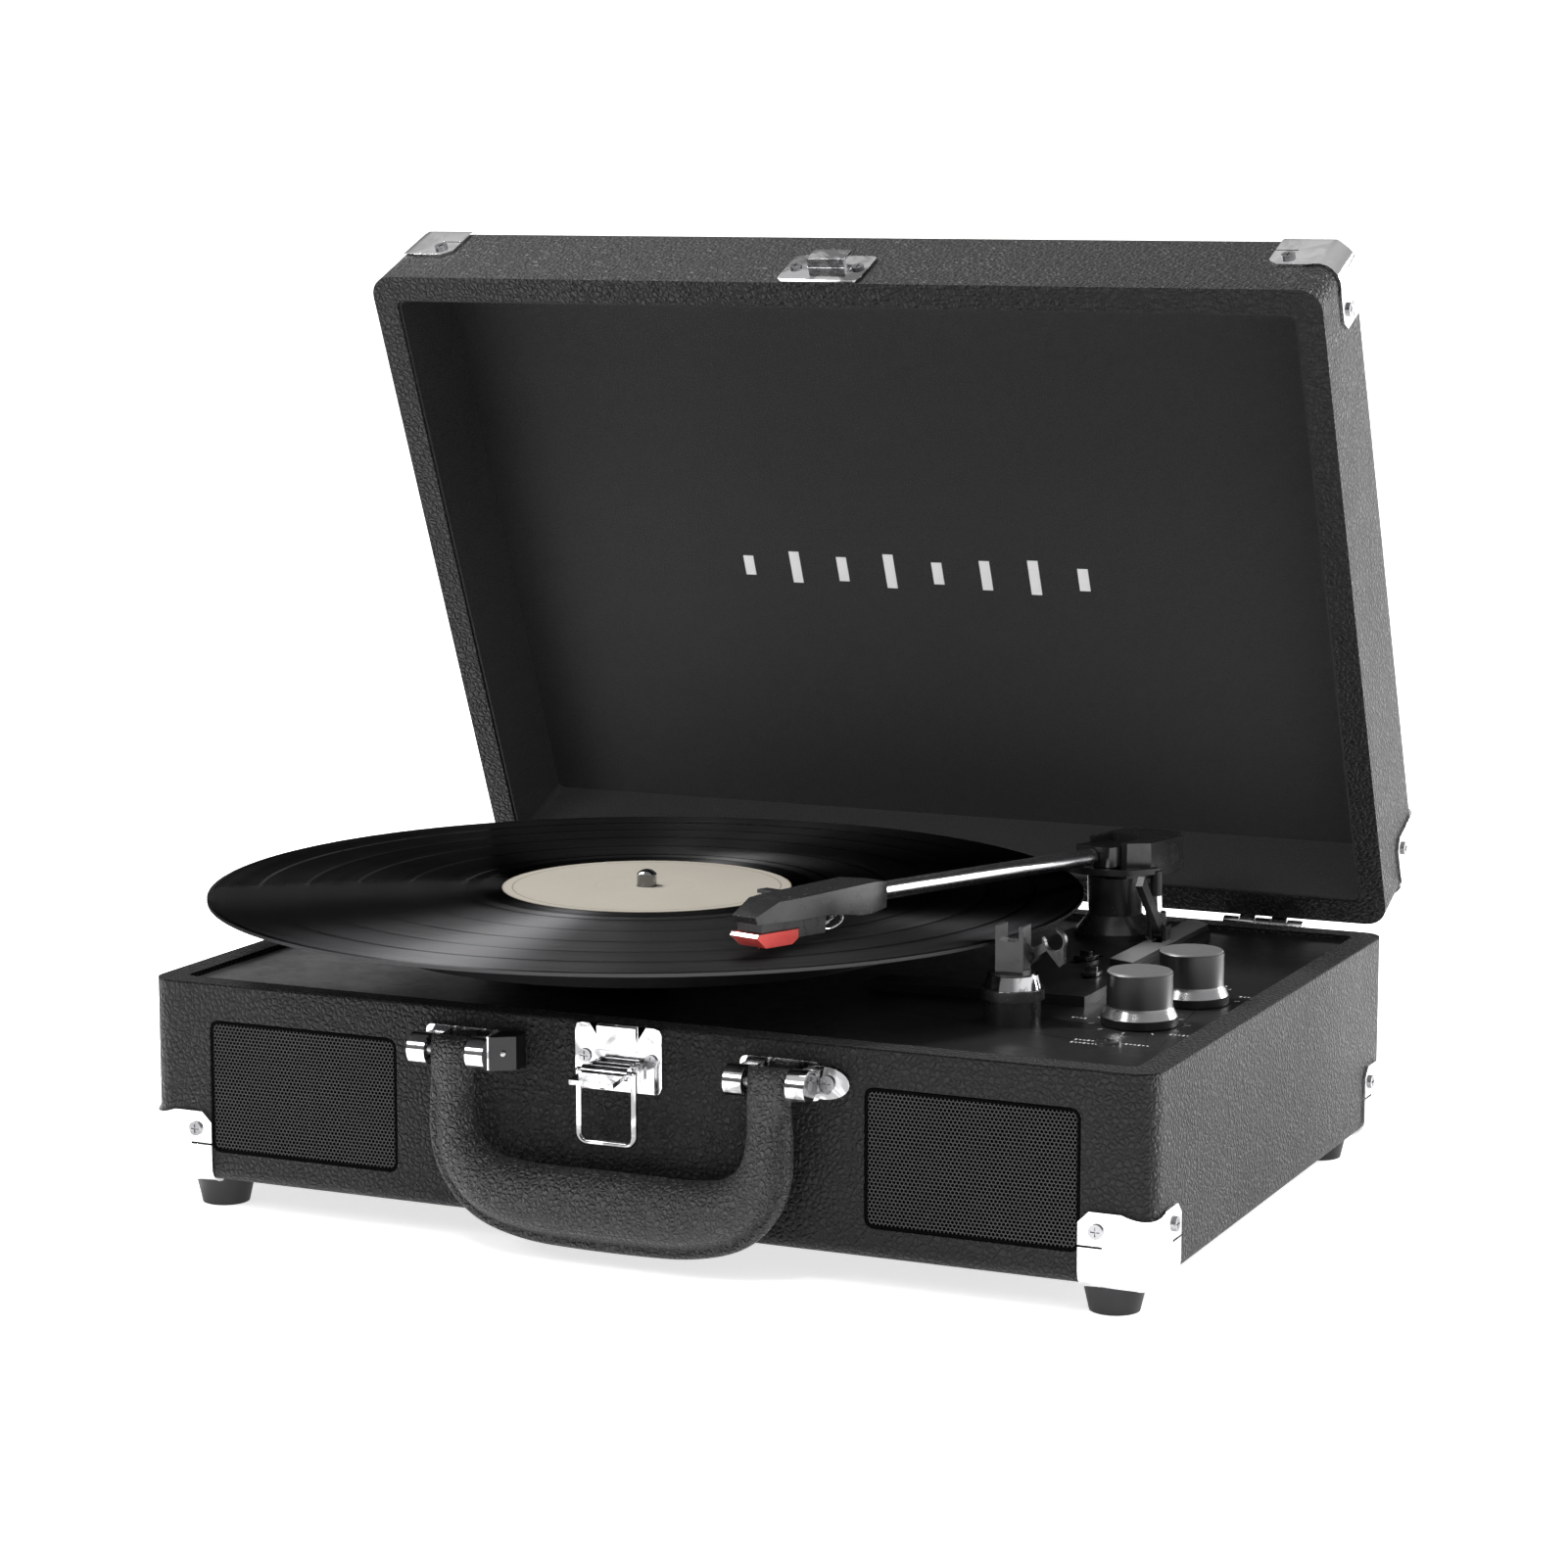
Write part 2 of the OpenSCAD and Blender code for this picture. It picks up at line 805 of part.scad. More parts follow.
module main_board() {
  color([0.05, 0.25, 0.12])
  union() {
    translate([70, 60, 14])
      rounded_bar(110, 64, 1.6, 1, 2);
    for (sx = [-1, 1])
      for (sy = [-1, 1])
        translate([70 + sx*50, 60 + sy*27, bottom_t])
          cylinder(r = 3, h = 10.2, $fn = 24);
    translate([48, 48, 15])
      cube([26, 18, 9]);
    for (i = [0:3])
      translate([90 + i*14, 44, 15])
        cylinder(r = 5, h = 13, $fn = 24);
  }
}

module headphone_jack() {
  color([0.55, 0.55, 0.57])
  translate([148, -80, 0])
    difference() {
      union() {
        translate([0, 0, deck_under - 10])
          cylinder(r = 3, h = deck_z - deck_under + 10.6, $fn = 32);
        translate([0, 0, deck_z + 0.02])
          cylinder(r = 4.4, h = 0.9, $fn = 32);
      }
      translate([0, 0, deck_z + 0.92 - 12])
        cylinder(r = 1.8, h = 20, $fn = 32);
    }
}

module rear_plate() {
  color([0.06, 0.06, 0.065])
  difference() {
    translate([95, half_d - 0.1, 30])
      rotate([90, 0, 0])
        rounded_bar(84, 30, 1.3, 2, 2);
    for (x = [68, 88, 102])
      translate([x, half_d + 5, 30])
        rotate([90, 0, 0])
          cylinder(r = 4.6, h = 20, $fn = 32);
    translate([120, half_d + 5, 30])
      rotate([90, 0, 0])
        cylinder(r = 3.1, h = 20, $fn = 32);
  }
}

module rear_jacks() {
  color([0.45, 0.45, 0.47])
  union() {
    // Power inlet with its centre pin
    translate([68, half_d, 30])
      rotate([90, 0, 0])
        difference() {
          cylinder(r = 4.55, h = 14, $fn = 32);
          translate([0, 0, -1])
            difference() {
              cylinder(r = 2.8, h = 10.5, $fn = 32);
              cylinder(r = 1, h = 12, $fn = 24);
            }
        }
    // Two line outputs
    for (x = [88, 102])
      translate([x, half_d + 8.5, 30])
        rotate([90, 0, 0])
          difference() {
            cylinder(r = 4.15, h = 22, $fn = 32);
            translate([0, 0, -1])
              cylinder(r = 1.65, h = 15, $fn = 24);
          }
    // Line input
    translate([120, half_d + 0.5, 30])
      rotate([90, 0, 0])
        difference() {
          cylinder(r = 3.05, h = 15, $fn = 32);
          translate([0, 0, -1])
            cylinder(r = 1.8, h = 13, $fn = 32);
        }
  }
}

module potentiometers() {
  color([0.5, 0.5, 0.52])
  for (p = [[volume_x, volume_y], [function_x, function_y]])
    translate([p[0], p[1], 0])
      difference() {
        union() {
          translate([0, 0, deck_under - 12])
            cylinder(r = 8, h = 12, $fn = 32);
          translate([0, 0, deck_under - 1])
            cylinder(r = 3.9, h = deck_t + 1, $fn = 32);
        }
        translate([0, 0, deck_under - 10.5])
          cylinder(r = stem_r + run, h = 30, $fn = 32);
      }
}

module knob() {
  skirt_z = deck_z + 0.4;
  color([0.04, 0.04, 0.045])
  union() {
    translate([0, 0, deck_under - 10])
      cylinder(r = stem_r, h = skirt_z - deck_under + 10.5, $fn = 32);
    translate([0, 0, skirt_z])
      cylinder(r = knob_r, h = 2.6, $fn = 48);
    translate([0, 0, skirt_z + 2.6])
      cylinder(r1 = knob_r - 0.2, r2 = knob_r - 1.8, h = 3.4, $fn = 48);
    translate([0, 0, skirt_z + 6])
      cylinder(r = knob_r - 1.8, h = knob_h - 6.6, $fn = 48);
    translate([0, 0, skirt_z + knob_h - 0.6])
      cylinder(r1 = knob_r - 1.8, r2 = knob_r - 2.4, h = 0.6, $fn = 48);
  }
}

module knob_volume() { translate([volume_x, volume_y, 0]) knob(); }
module knob_function() { translate([function_x, function_y, 0]) knob(); }

// ---- Tonearm base and controls ----

module slider_slot(x, y, turn, length) {
  translate([x, y, plinth_z - 6])
    rotate([0, 0, turn])
      rounded_bar(3.4, length, 12, 1.2, 2);
}

module control_plinth() {
  color([0.05, 0.05, 0.052])
  difference() {
    union() {
      translate([0, 0, deck_z])
        linear_extrude(plinth_z - deck_z)
          polygon([
            [48, -36], [122.5, -32], [123, -28], [123, 96], [118, 104], [96, 104],
            [78, 92], [76, 62], [88, 10], [84, -20], [48, -25]
          ]);
      // Raised strip running back beside the tonearm
      translate([0, 0, plinth_z - small])
        linear_extrude(2)
          polygon([[111.5, 23], [121, 19], [122.2, 96], [117, 101], [113, 101]]);
      // Sleeve of the lift
      translate([arm_x + 18.1, arm_y - 8.5, plinth_z - small])
        cylinder(r = 3.6, h = 11, $fn = 32);
      for (side = [-1, 1])
        translate([cue_x + side*2.5 - 0.6, cue_y - 2.6, plinth_z - small])
          cube([1.2, 5.2, 7.4]);
    }
    slider_slot(101.5, 27, -16, 18);
    slider_slot(112.5, 2, 0, 13);
    translate([arm_x + 18.1, arm_y - 8.5, deck_z + 1])
      cylinder(r = 2.2 + run, h = 30, $fn = 32);
    translate([cue_x, cue_y, cue_z])
      rotate([0, 90, 0])
        cylinder(r = 1 + run, h = 12, center = true, $fn = 24);
    // Clearance for the foot of the lever
    translate([cue_x - 1.9, cue_y - 4, plinth_z - 2])
      cube([3.8, 8, 4]);
  }
}

module slider_button(x, y, turn, length) {
  translate([x, y, 0])
    rotate([0, 0, turn])
      union() {
        translate([0, 0, plinth_z - 2.4])
          rounded_bar(2.8, length - 3, 2.6, 0.8, 2);
        translate([0, 0, plinth_z + 0.15])
          rounded_bar(6, length, 1.4, 1, 2);
        translate([0, 0, plinth_z + 1.5])
          rounded_bar(4.4, 2.4, 1.6, 0.8, 2);
      }
}

module speed_slider() {
  color([0.08, 0.08, 0.085])
  slider_button(101.5, 27, -16, 8);
}

module stop_slider() {
  color([0.08, 0.08, 0.085])
  slider_button(112.5, 2, 0, 7);
}

module arm_rest() {
  color([0.1, 0.1, 0.105])
  translate([rest_x, rest_y, 0])
    difference() {
      union() {
        translate([0, 0, deck_z])
          cylinder(r = 9.2, h = rest_foot_h + small, $fn = 40);
        translate([0, 0, deck_z + rest_foot_h])
          cylinder(r = 10.4, h = rest_disc_h, $fn = 40);
        translate([0, 0, rest_collar_z - small])
          cylinder(r = 7.4, h = 4.9, $fn = 40);
        translate([-post_w/2, -post_d/2, rest_collar_z + 4])
          cube([post_w, post_d, rest_top - rest_collar_z - 4]);
        // Pin that the clip turns on
        translate([clip_pin_x - rest_x, post_d/2 - 1, clip_pin_z])
          rotate([-90, 0, 0])
            cylinder(r = clip_pin_r, h = clip_t + 1.8, $fn = 24);
      }
      // Fork that the arm tube rests in
      translate([-fork_w/2, -post_d, fork_z])
        cube([fork_w, 2*post_d, rest_top]);
    }
}

module arm_rest_ring() {
  color([0.8, 0.8, 0.82])
  translate([rest_x, rest_y, rest_collar_z + 0.1])
    difference() {
      cylinder(r1 = 9.3, r2 = 8.2, h = 4.3, $fn = 40);
      translate([0, 0, -1])
        cylinder(r = 7.45, h = 8, $fn = 40);
    }
}

// Swinging hook that holds the parked arm in the fork
module arm_clip() {
  hook_in = 3.1;
  hook_out = 4.1;
  color([0.12, 0.12, 0.125])
  translate([clip_pin_x, rest_y + post_d/2 + 0.3, clip_pin_z])
    rotate([90, -clip_angle, 0])
      mirror([0, 0, 1])
        linear_extrude(clip_t)
          difference() {
            union() {
              circle(r = 2.6, $fn = 24);
              translate([0, -1.5])
                square([clip_reach, 3]);
              translate([clip_reach, 0])
                circle(r = hook_out, $fn = 32);
              // Tab for the finger
              polygon([[5.5, 0], [6.6, -8.2], [8.6, -8], [13.2, -1]]);
            }
            translate([clip_reach, 0])
              circle(r = hook_in, $fn = 32);
            // Mouth of the hook
            translate([clip_reach - 2.6, 0.9])
              square([5.2, hook_out]);
            circle(r = clip_pin_r + run, $fn = 24);
          }
}

module arm_pedestal() {
  color([0.06, 0.06, 0.062])
  translate([arm_x, arm_y, plinth_z])
    union() {
      cylinder(r = 14.5, h = 2, $fn = 48);
      translate([0, 0, 1.9])
        cylinder(r1 = 14, r2 = 9.4, h = 6, $fn = 48);
      translate([0, 0, 7.8])
        cylinder(r1 = 9.4, r2 = 10.4, h = arm_z - 7.6 - plinth_z - 7.8, $fn = 48);
      cylinder(r = 3, h = arm_z - 4.6 - plinth_z, $fn = 32);
    }
}

// ---- Tonearm ----

module arm_housing() {
  color([0.05, 0.05, 0.052])
  along_arm()
    difference() {
      translate([3, 8.5, -7.1])
        rounded_bar(26, 33, 12.5, 6, 1);
      // Slot for the arm's pivot block
      translate([-7.5, -10, -4.1])
        cube([15, 19, 20]);
      translate([0, 0, -9])
        cylinder(r = 3 + run, h = 8, $fn = 32);
      rotate([0, 90, 0])
        cylinder(r = 1.4 + run, h = 19.4, center = true, $fn = 24);
    }
}

module arm_tube() {
  color([0.7, 0.7, 0.72])
  along_raised_arm()
    union() {
      translate([0, -5.5, 0.3])
        translate([0, 0, -3.5])
          rounded_bar(14.4, 19, 7, 1, 2);
      rotate([0, 90, 0])
        cylinder(r = 1.4, h = 18.8, center = true, $fn = 24);
      translate([0, -14, 0])
        rotate([90, 0, 0])
          cylinder(r = tube_r, h = 134, $fn = 32);
    }
}

module headshell() {
  side = [
    [-140, -4.6], [-140, 4], [-150, 5], [-198, 3.2], [-208, -1.2], [-207, -3.4],
    [-172, -3.4], [-156, -5.2]
  ];
  top = [
    [-4.4, -139], [4.4, -139], [7.4, -150], [7.4, -190], [4.6, -209],
    [-4.6, -209], [-7.4, -190], [-7.4, -150]
  ];
  color([0.05, 0.05, 0.052])
  along_raised_arm()
    difference() {
      union() {
        intersection() {
          translate([-10, 0, 0])
            rotate([90, 0, 90])
              linear_extrude(20)
                polygon(side);
          translate([0, 0, -10])
            linear_extrude(20)
              polygon(top);
        }
        // Finger lift
        translate([-15, -183, 2.2])
          cube([10, 5, 1.2]);
      }
      translate([0, -130, 0])
        rotate([90, 0, 0])
          cylinder(r = tube_r, h = 18.2, $fn = 32);
    }
}

module cartridge() {
  color([0.07, 0.07, 0.072])
  along_raised_arm()
    union() {
      translate([-5.2, -205, -6.5])
        cube([10.4, 27, 3.08]);
      translate([-5.2, -186.5, -9.4])
        cube([10.4, 14, 5.98]);
    }
}

module stylus_block() {
  color([0.85, 0.1, 0.08])
  along_raised_arm()
    union() {
      translate([-5.4, 0, 0])
        rotate([90, 0, 90])
          linear_extrude(10.8)
            polygon([[-187, -6.6], [-187, -9.6], [-190, -11.2], [-203, -11.2], [-208, -7.6], [-207, -6.6]]);
      translate([0, -arm_len, -12.3])
        cylinder(r1 = 0.2, r2 = 0.7, h = 1.4, $fn = 20);
    }
}

module lift_bar() {
  arc_r = 20;
  color([0.75, 0.75, 0.77])
  translate([arm_x, arm_y, 0])
    union() {
      translate([0, 0, arm_z - 4.6])
        rotate([0, 0, -135])
          rotate_extrude(angle = 112, $fn = 72)
            translate([arc_r - 1.2, 0])
              square([2.4, 2]);
      translate([18.1, -8.5, deck_z + 3])
        cylinder(r = 2.2, h = arm_z - 4.6 - deck_z - 2, $fn = 32);
    }
}

module cue_lever() {
  color([0.08, 0.08, 0.085])
  translate([cue_x, cue_y, cue_z])
    rotate([45, 0, 0])
      union() {
        rotate([0, 90, 0])
          cylinder(r = 2.5, h = 3, center = true, $fn = 24);
        rotate([0, 90, 0])
          cylinder(r = 1, h = 6, center = true, $fn = 24);
        translate([-1.2, -2, 0])
          cube([2.4, 4, 30]);
      }
}

// ---- Lid, drawn closed and then opened ----

module lid_shell() {
  color([0.07, 0.07, 0.075])
  on_open_lid()
    difference() {
      translate([0, 0, base_h + lid_t])
        mirror([0, 0, 1])
          case_block(lid_t);
      translate([0, 0, base_h - 1])
        rounded_bar(in_w, in_d, lid_t - lid_top_t + 1, 3, 3);
    }
}

module lid_lining() {
  sheet = 1;
  color([0.05, 0.05, 0.055])
  on_open_lid()
    difference() {
      translate([0, 0, base_h + 1])
        rounded_bar(in_w - 0.3, in_d - 0.3, lid_t - lid_top_t - 1.1, 2.9, 3);
      translate([0, 0, base_h])
        rounded_bar(in_w - 2*sheet, in_d - 2*sheet, lid_t - lid_top_t - 0.1 - sheet, 2.4, 3);
    }
}

module lid_emblem() {
  heights = [8, 13, 10, 14, 9, 12, 14, 9];
  color([0.92, 0.92, 0.92])
  on_open_lid()
    for (i = [0:len(heights) - 1])
      translate([(i - 3.5)*19 - 2, half_d - 115 - heights[i]/2, base_h + lid_t - lid_top_t - 1.4])
        cube([4, heights[i], 0.28]);
}

module lid_catch() {
  color([0.8, 0.8, 0.82])
  on_open_lid()
    translate([latch_x, 0, 0])
      union() {
        translate([0, front_y, base_h + 10.5])
          rotate([90, 0, 0])
            rounded_bar(latch_w, 20, plate_t, 2, 3);
        // Hook that the bail pulls on
        translate([-7, front_y - 4.6, base_h + 10])
          cube([14, 4, 2]);
        translate([-7, front_y - 4.6, base_h + 11])
          cube([14, 1.2, 7]);
      }
}

module lid_screws() {
  color([0.75, 0.75, 0.77])
  on_open_lid()
    union() {
      for (sx = [-1, 1])
        for (sy = [-1, 1]) {
          translate([sx*(half_w - 18), sy*(half_d + cap_t), base_h + lid_t - 18])
            rotate([-90*sy, 0, 0])
              cross_screw();
          translate([sx*(half_w + cap_t), sy*(half_d - 18), base_h + lid_t - 18])
            rotate([0, 90*sx, 0])
              cross_screw();
        }
      for (sx = [-1, 1])
        for (k = [-1, 1])
          translate([sx*hinge_x + k*9, half_d + leaf_t, base_h + 12])
            rotate([-90, 0, 0])
              cross_screw(2.2, 0.8, 1, 7);
      for (k = [-1, 1])
        translate([latch_x + k*11.8, front_y - plate_t, base_h + 10.5])
          rotate([90, 0, 0])
            cross_screw(2.2, 0.8, 1, 7);
    }
}

module lid_cap_at(sx, sy) {
  color([0.8, 0.8, 0.82])
  on_open_lid()
    translate([0, 0, base_h + lid_t])
      mirror([0, 0, 1])
        cap_at(sx, sy);
}

module lid_corner_fl() { lid_cap_at(-1, -1); }
module lid_corner_fr() { lid_cap_at(1, -1); }
module lid_corner_bl() { lid_cap_at(-1, 1); }
module lid_corner_br() { lid_cap_at(1, 1); }

base_shell();
bottom_panel();
deck_panel();
feet();
base_screws();
base_corner_fl();
base_corner_fr();
base_corner_bl();
base_corner_br();
grille_l();
grille_r();
speaker_l();
speaker_r();
hinge_base_leaves();
pivot_pins();
latch_plate();
handle_bracket_l();
handle_bracket_r();
spindle();
motor();
main_board();
headphone_jack();
rear_plate();
rear_jacks();
control_plinth();
arm_rest();
arm_rest_ring();
arm_pedestal();
potentiometers();
drive_belt();
lid_shell();
lid_lining();
lid_catch();
lid_screws();
lid_emblem();
hinge_lid_leaves();
lid_corner_fl();
lid_corner_fr();
lid_corner_bl();
lid_corner_br();
platter();
platter_mat();
vinyl_record();
record_label();
motor_pulley();
arm_housing();
arm_tube();
headshell();
cartridge();
stylus_block();
lift_bar();
cue_lever();
arm_clip();
knob_volume();
knob_function();
speed_slider();
stop_slider();
handle_grip();
latch_lever();
latch_bail();
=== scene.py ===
import math

import bmesh
import bpy
from mathutils import Matrix, Vector


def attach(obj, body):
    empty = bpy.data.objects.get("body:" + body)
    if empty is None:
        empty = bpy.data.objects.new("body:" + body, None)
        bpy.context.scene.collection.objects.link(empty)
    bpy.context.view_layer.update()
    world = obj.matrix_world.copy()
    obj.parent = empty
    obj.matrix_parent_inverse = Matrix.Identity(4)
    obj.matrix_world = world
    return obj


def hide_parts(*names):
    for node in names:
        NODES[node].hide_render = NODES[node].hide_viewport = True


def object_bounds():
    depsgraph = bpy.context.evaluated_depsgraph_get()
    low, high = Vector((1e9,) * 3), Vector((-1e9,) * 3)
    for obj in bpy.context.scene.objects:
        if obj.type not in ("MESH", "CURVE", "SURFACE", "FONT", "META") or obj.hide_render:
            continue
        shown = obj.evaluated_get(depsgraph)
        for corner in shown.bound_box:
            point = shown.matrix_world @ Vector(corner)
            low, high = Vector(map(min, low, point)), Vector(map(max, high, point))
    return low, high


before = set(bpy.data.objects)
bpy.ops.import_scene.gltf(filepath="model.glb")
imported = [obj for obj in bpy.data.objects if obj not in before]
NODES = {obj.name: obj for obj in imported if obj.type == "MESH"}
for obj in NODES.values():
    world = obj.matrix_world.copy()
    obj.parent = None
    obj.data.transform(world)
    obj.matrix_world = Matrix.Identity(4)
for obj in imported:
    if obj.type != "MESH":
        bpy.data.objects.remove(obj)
cad_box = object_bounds()

MM = 0.001
SMOOTH_ANGLE = math.radians(33)

# Places repeated from the CAD, in metres
SPINDLE = Vector((-0.043, -0.020, 0.0925))
DECK_Z = 0.0665
FRONT_Y = -0.124
ARM_PIVOT = Vector((0.095, 0.074, 0.0991))
ARM_YAW = math.radians(14.2)
ARM_TILT = math.radians(2.5)
HANDLE_PIVOT = Vector((-0.001, -0.1335, 0.056))
GRILLE_X = 0.1195
GRILLE_Z = 0.033
GRILLE_SIZE = (71.5, 45.0)
# Where the block of the left handle bracket starts, painted black as a dark reflection of plated
# metal, and the top of the lift's bright cuff
BLOCK_X = -0.0433
LIFT_CUFF_Z = 0.0868
# Top of the raised strip beside the tonearm
STRIP_Z = 0.0719
# Height of the case's turned-over rim, and the black painted on the leather above it as painted shade
RIM_Z = 0.0675
RIM_PAINTED_SHADE = (0.002, 0.002, 0.002)
VOLUME_AT = (0.1475, -0.049)
FUNCTION_AT = (0.1518, -0.0102)


# ---------------------------------------------------------------- materials
class Mat:
    """A node material under construction, with short calls for the nodes used here."""

    def __init__(self, name):
        self.mat = bpy.data.materials.new(name)
        self.mat.use_nodes = True
        self.tree = self.mat.node_tree
        self.tree.nodes.clear()
        self.out = self.tree.nodes.new("ShaderNodeOutputMaterial")
        self.bsdf = self.tree.nodes.new("ShaderNodeBsdfPrincipled")
        self.tree.links.new(self.bsdf.outputs[0], self.out.inputs[0])
        self.coord = self.tree.nodes.new("ShaderNodeTexCoord")
        self.place = self.coord.outputs["Object"]

    def node(self, kind, **settings):
        made = self.tree.nodes.new(kind)
        for key, value in settings.items():
            setattr(made, key, value)
        return made

    def link(self, a, b):
        self.tree.links.new(a, b)

    def set(self, **values):
        names = {
            "color": "Base Color", "metal": "Metallic", "rough": "Roughness",
            "spec": "Specular IOR Level", "coat": "Coat Weight", "coat_rough": "Coat Roughness",
            "sheen": "Sheen Weight", "sheen_rough": "Sheen Roughness", "aniso": "Anisotropic",
            "subsurface": "Subsurface Weight", "emission": "Emission Strength",
        }
        for key, value in values.items():
            socket = self.bsdf.inputs[names[key]]
            if key == "color":
                socket.default_value = (*value, 1)
            else:
                socket.default_value = value
        return self

    def math(self, operation, a, b=None, clamp=False):
        n = self.node("ShaderNodeMath", operation=operation, use_clamp=clamp)
        for i, v in enumerate((a, b)):
            if v is None:
                continue
            if isinstance(v, (int, float)):
                n.inputs[i].default_value = v
            else:
                self.link(v, n.inputs[i])
        return n.outputs[0]

    def noise(self, scale, detail=3.0, rough=0.5, place=None, distortion=0.0):
        n = self.node("ShaderNodeTexNoise")
        n.inputs["Scale"].default_value = scale
        n.inputs["Detail"].default_value = detail
        n.inputs["Roughness"].default_value = rough
        n.inputs["Distortion"].default_value = distortion
        self.link(place or self.place, n.inputs["Vector"])
        return n.outputs["Fac"]

    def cells(self, scale, feature="DISTANCE_TO_EDGE", place=None, randomness=1.0):
        n = self.node("ShaderNodeTexVoronoi", feature=feature)
        n.inputs["Scale"].default_value = scale
        n.inputs["Randomness"].default_value = randomness
        self.link(place or self.place, n.inputs["Vector"])
        return n.outputs["Distance"]

    def remap(self, value, low, high, to_low, to_high, smooth=False):
        n = self.node("ShaderNodeMapRange", clamp=True)
        if smooth:
            n.interpolation_type = "SMOOTHSTEP"
        for i, v in enumerate((low, high, to_low, to_high)):
            n.inputs[i + 1].default_value = v
        self.link(value, n.inputs[0])
        return n.outputs[0]

    def mix(self, fac, a, b):
        n = self.node("ShaderNodeMix", data_type="RGBA")
        self.link(fac, n.inputs[0])
        for i, v in ((6, a), (7, b)):
            if isinstance(v, tuple):
                n.inputs[i].default_value = (*v, 1)
            else:
                self.link(v, n.inputs[i])
        return n.outputs[2]

    def bump(self, height, distance, strength=1.0, under=None):
        n = self.node("ShaderNodeBump")
        n.inputs["Strength"].default_value = strength
        n.inputs["Distance"].default_value = distance
        self.link(height, n.inputs["Height"])
        if under is not None:
            self.link(under, n.inputs["Normal"])
        return n.outputs[0]

    def use(self, color=None, rough=None, metal=None, normal=None):
        sources = {"Base Color": color, "Roughness": rough, "Metallic": metal, "Normal": normal}
        for name, value in sources.items():
            if value is not None:
                self.link(value, self.bsdf.inputs[name])
        return self.mat

    def outward(self, centre):
        """Horizontal vector from a vertical axis through centre."""
        shift = self.node("ShaderNodeVectorMath", operation="SUBTRACT")
        shift.inputs[1].default_value = centre
        self.link(self.place, shift.inputs[0])
        flat = self.node("ShaderNodeVectorMath", operation="MULTIPLY")
        flat.inputs[1].default_value = (1, 1, 0)
        self.link(shift.outputs[0], flat.inputs[0])
        return flat.outputs[0]

    def radius(self, centre):
        """Distance from a vertical axis through centre, in metres."""
        length = self.node("ShaderNodeVectorMath", operation="LENGTH")
        self.link(self.outward(centre), length.inputs[0])
        return length.outputs["Value"]


def leather(name, dark, light, grain_mm, rough, depth_mm, spec,
            crease_mm=0.0, rim_z=None, pale_below=None):
    """Imitation leather: irregular pebbles with fine pores, rubbed smoother on top.

    It turns black above the height rim_z, as painted shade on the top of the rim, and paler from
    the second height of pale_below down to the first, as painted light on the lower part.
    """
    m = Mat(name)
    m.set(spec=spec, sheen=0.06, sheen_rough=0.4)
    scale = 1000 / grain_mm
    warp = m.node("ShaderNodeTexNoise")
    warp.inputs["Scale"].default_value = scale * 0.55
    warp.inputs["Detail"].default_value = 2.0
    m.link(m.place, warp.inputs["Vector"])
    pull = m.node("ShaderNodeVectorMath", operation="SCALE")
    pull.inputs["Scale"].default_value = 0.9 * grain_mm * MM
    m.link(warp.outputs["Color"], pull.inputs[0])
    bent = m.node("ShaderNodeVectorMath", operation="ADD")
    m.link(m.place, bent.inputs[0])
    m.link(pull.outputs[0], bent.inputs[1])
    pebbles = m.remap(m.cells(scale, place=bent.outputs[0]), 0.0, 0.32, 0.0, 1.0, smooth=True)
    pores = m.noise(scale * 2.7, 2.0, 0.6)
    broad = m.noise(9, 3.0, 0.55)
    height = m.math("ADD", m.math("MULTIPLY", pebbles, 0.75), m.math("MULTIPLY", pores, 0.5))
    normal = m.bump(height, depth_mm * MM)
    if crease_mm:
        normal = m.bump(m.noise(140, 4.0, 0.6, distortion=1.2), crease_mm * MM, under=normal)
    shade = m.math("ADD", m.math("MULTIPLY", pebbles, 0.45), m.math("MULTIPLY", broad, 0.55))
    color = m.mix(shade, dark, light)
    rubbed = m.remap(pebbles, 0, 1, rough + 0.14, rough)
    roughness = m.math("ADD", rubbed, m.remap(broad, 0.3, 0.7, -0.05, 0.06))
    # Painted light: the lining is painted paler towards the bottom
    if pale_below:
        split = m.node("ShaderNodeSeparateXYZ")
        m.link(m.place, split.inputs[0])
        painted_light_low = m.remap(split.outputs[2], pale_below[0], pale_below[1], 0.85, 0.0, smooth=True)
        color = m.mix(painted_light_low, color, tuple(c * 3 for c in light))
    # Painted shade: the leather above rim_z, the top of the rim, is painted black
    if rim_z:
        split = m.node("ShaderNodeSeparateXYZ")
        m.link(m.place, split.inputs[0])
        rim = m.remap(split.outputs[2], rim_z - 0.2 * MM, rim_z, 0, 1)
        color = m.mix(rim, color, RIM_PAINTED_SHADE)
        roughness = m.math("ADD", roughness, m.math("MULTIPLY", rim, 0.5))
    return m.use(color=color, rough=roughness, normal=normal)


def plastic(name, color, rough, grain_mm=0.5, depth_mm=0.01, spec=0.5, coat=0.0, spread=0.25):
    """Moulded plastic with a fine spark-eroded texture and handling marks."""
    m = Mat(name)
    m.set(spec=spec, coat=coat, coat_rough=0.08)
    fine = m.noise(1000 / grain_mm, 2.0, 0.6)
    broad = m.noise(28, 4.0, 0.6)
    marks = m.noise(160, 5.0, 0.7, distortion=0.8)
    tint = m.mix(broad, tuple(c * (1 - spread) for c in color), tuple(c * (1 + spread) for c in color))
    marked = m.remap(marks, 0.35, 0.7, rough - 0.04, rough + 0.06)
    roughness = m.math("ADD", marked, m.remap(broad, 0, 1, -0.03, 0.03))
    return m.use(color=tint, rough=roughness, normal=m.bump(fine, depth_mm * MM))


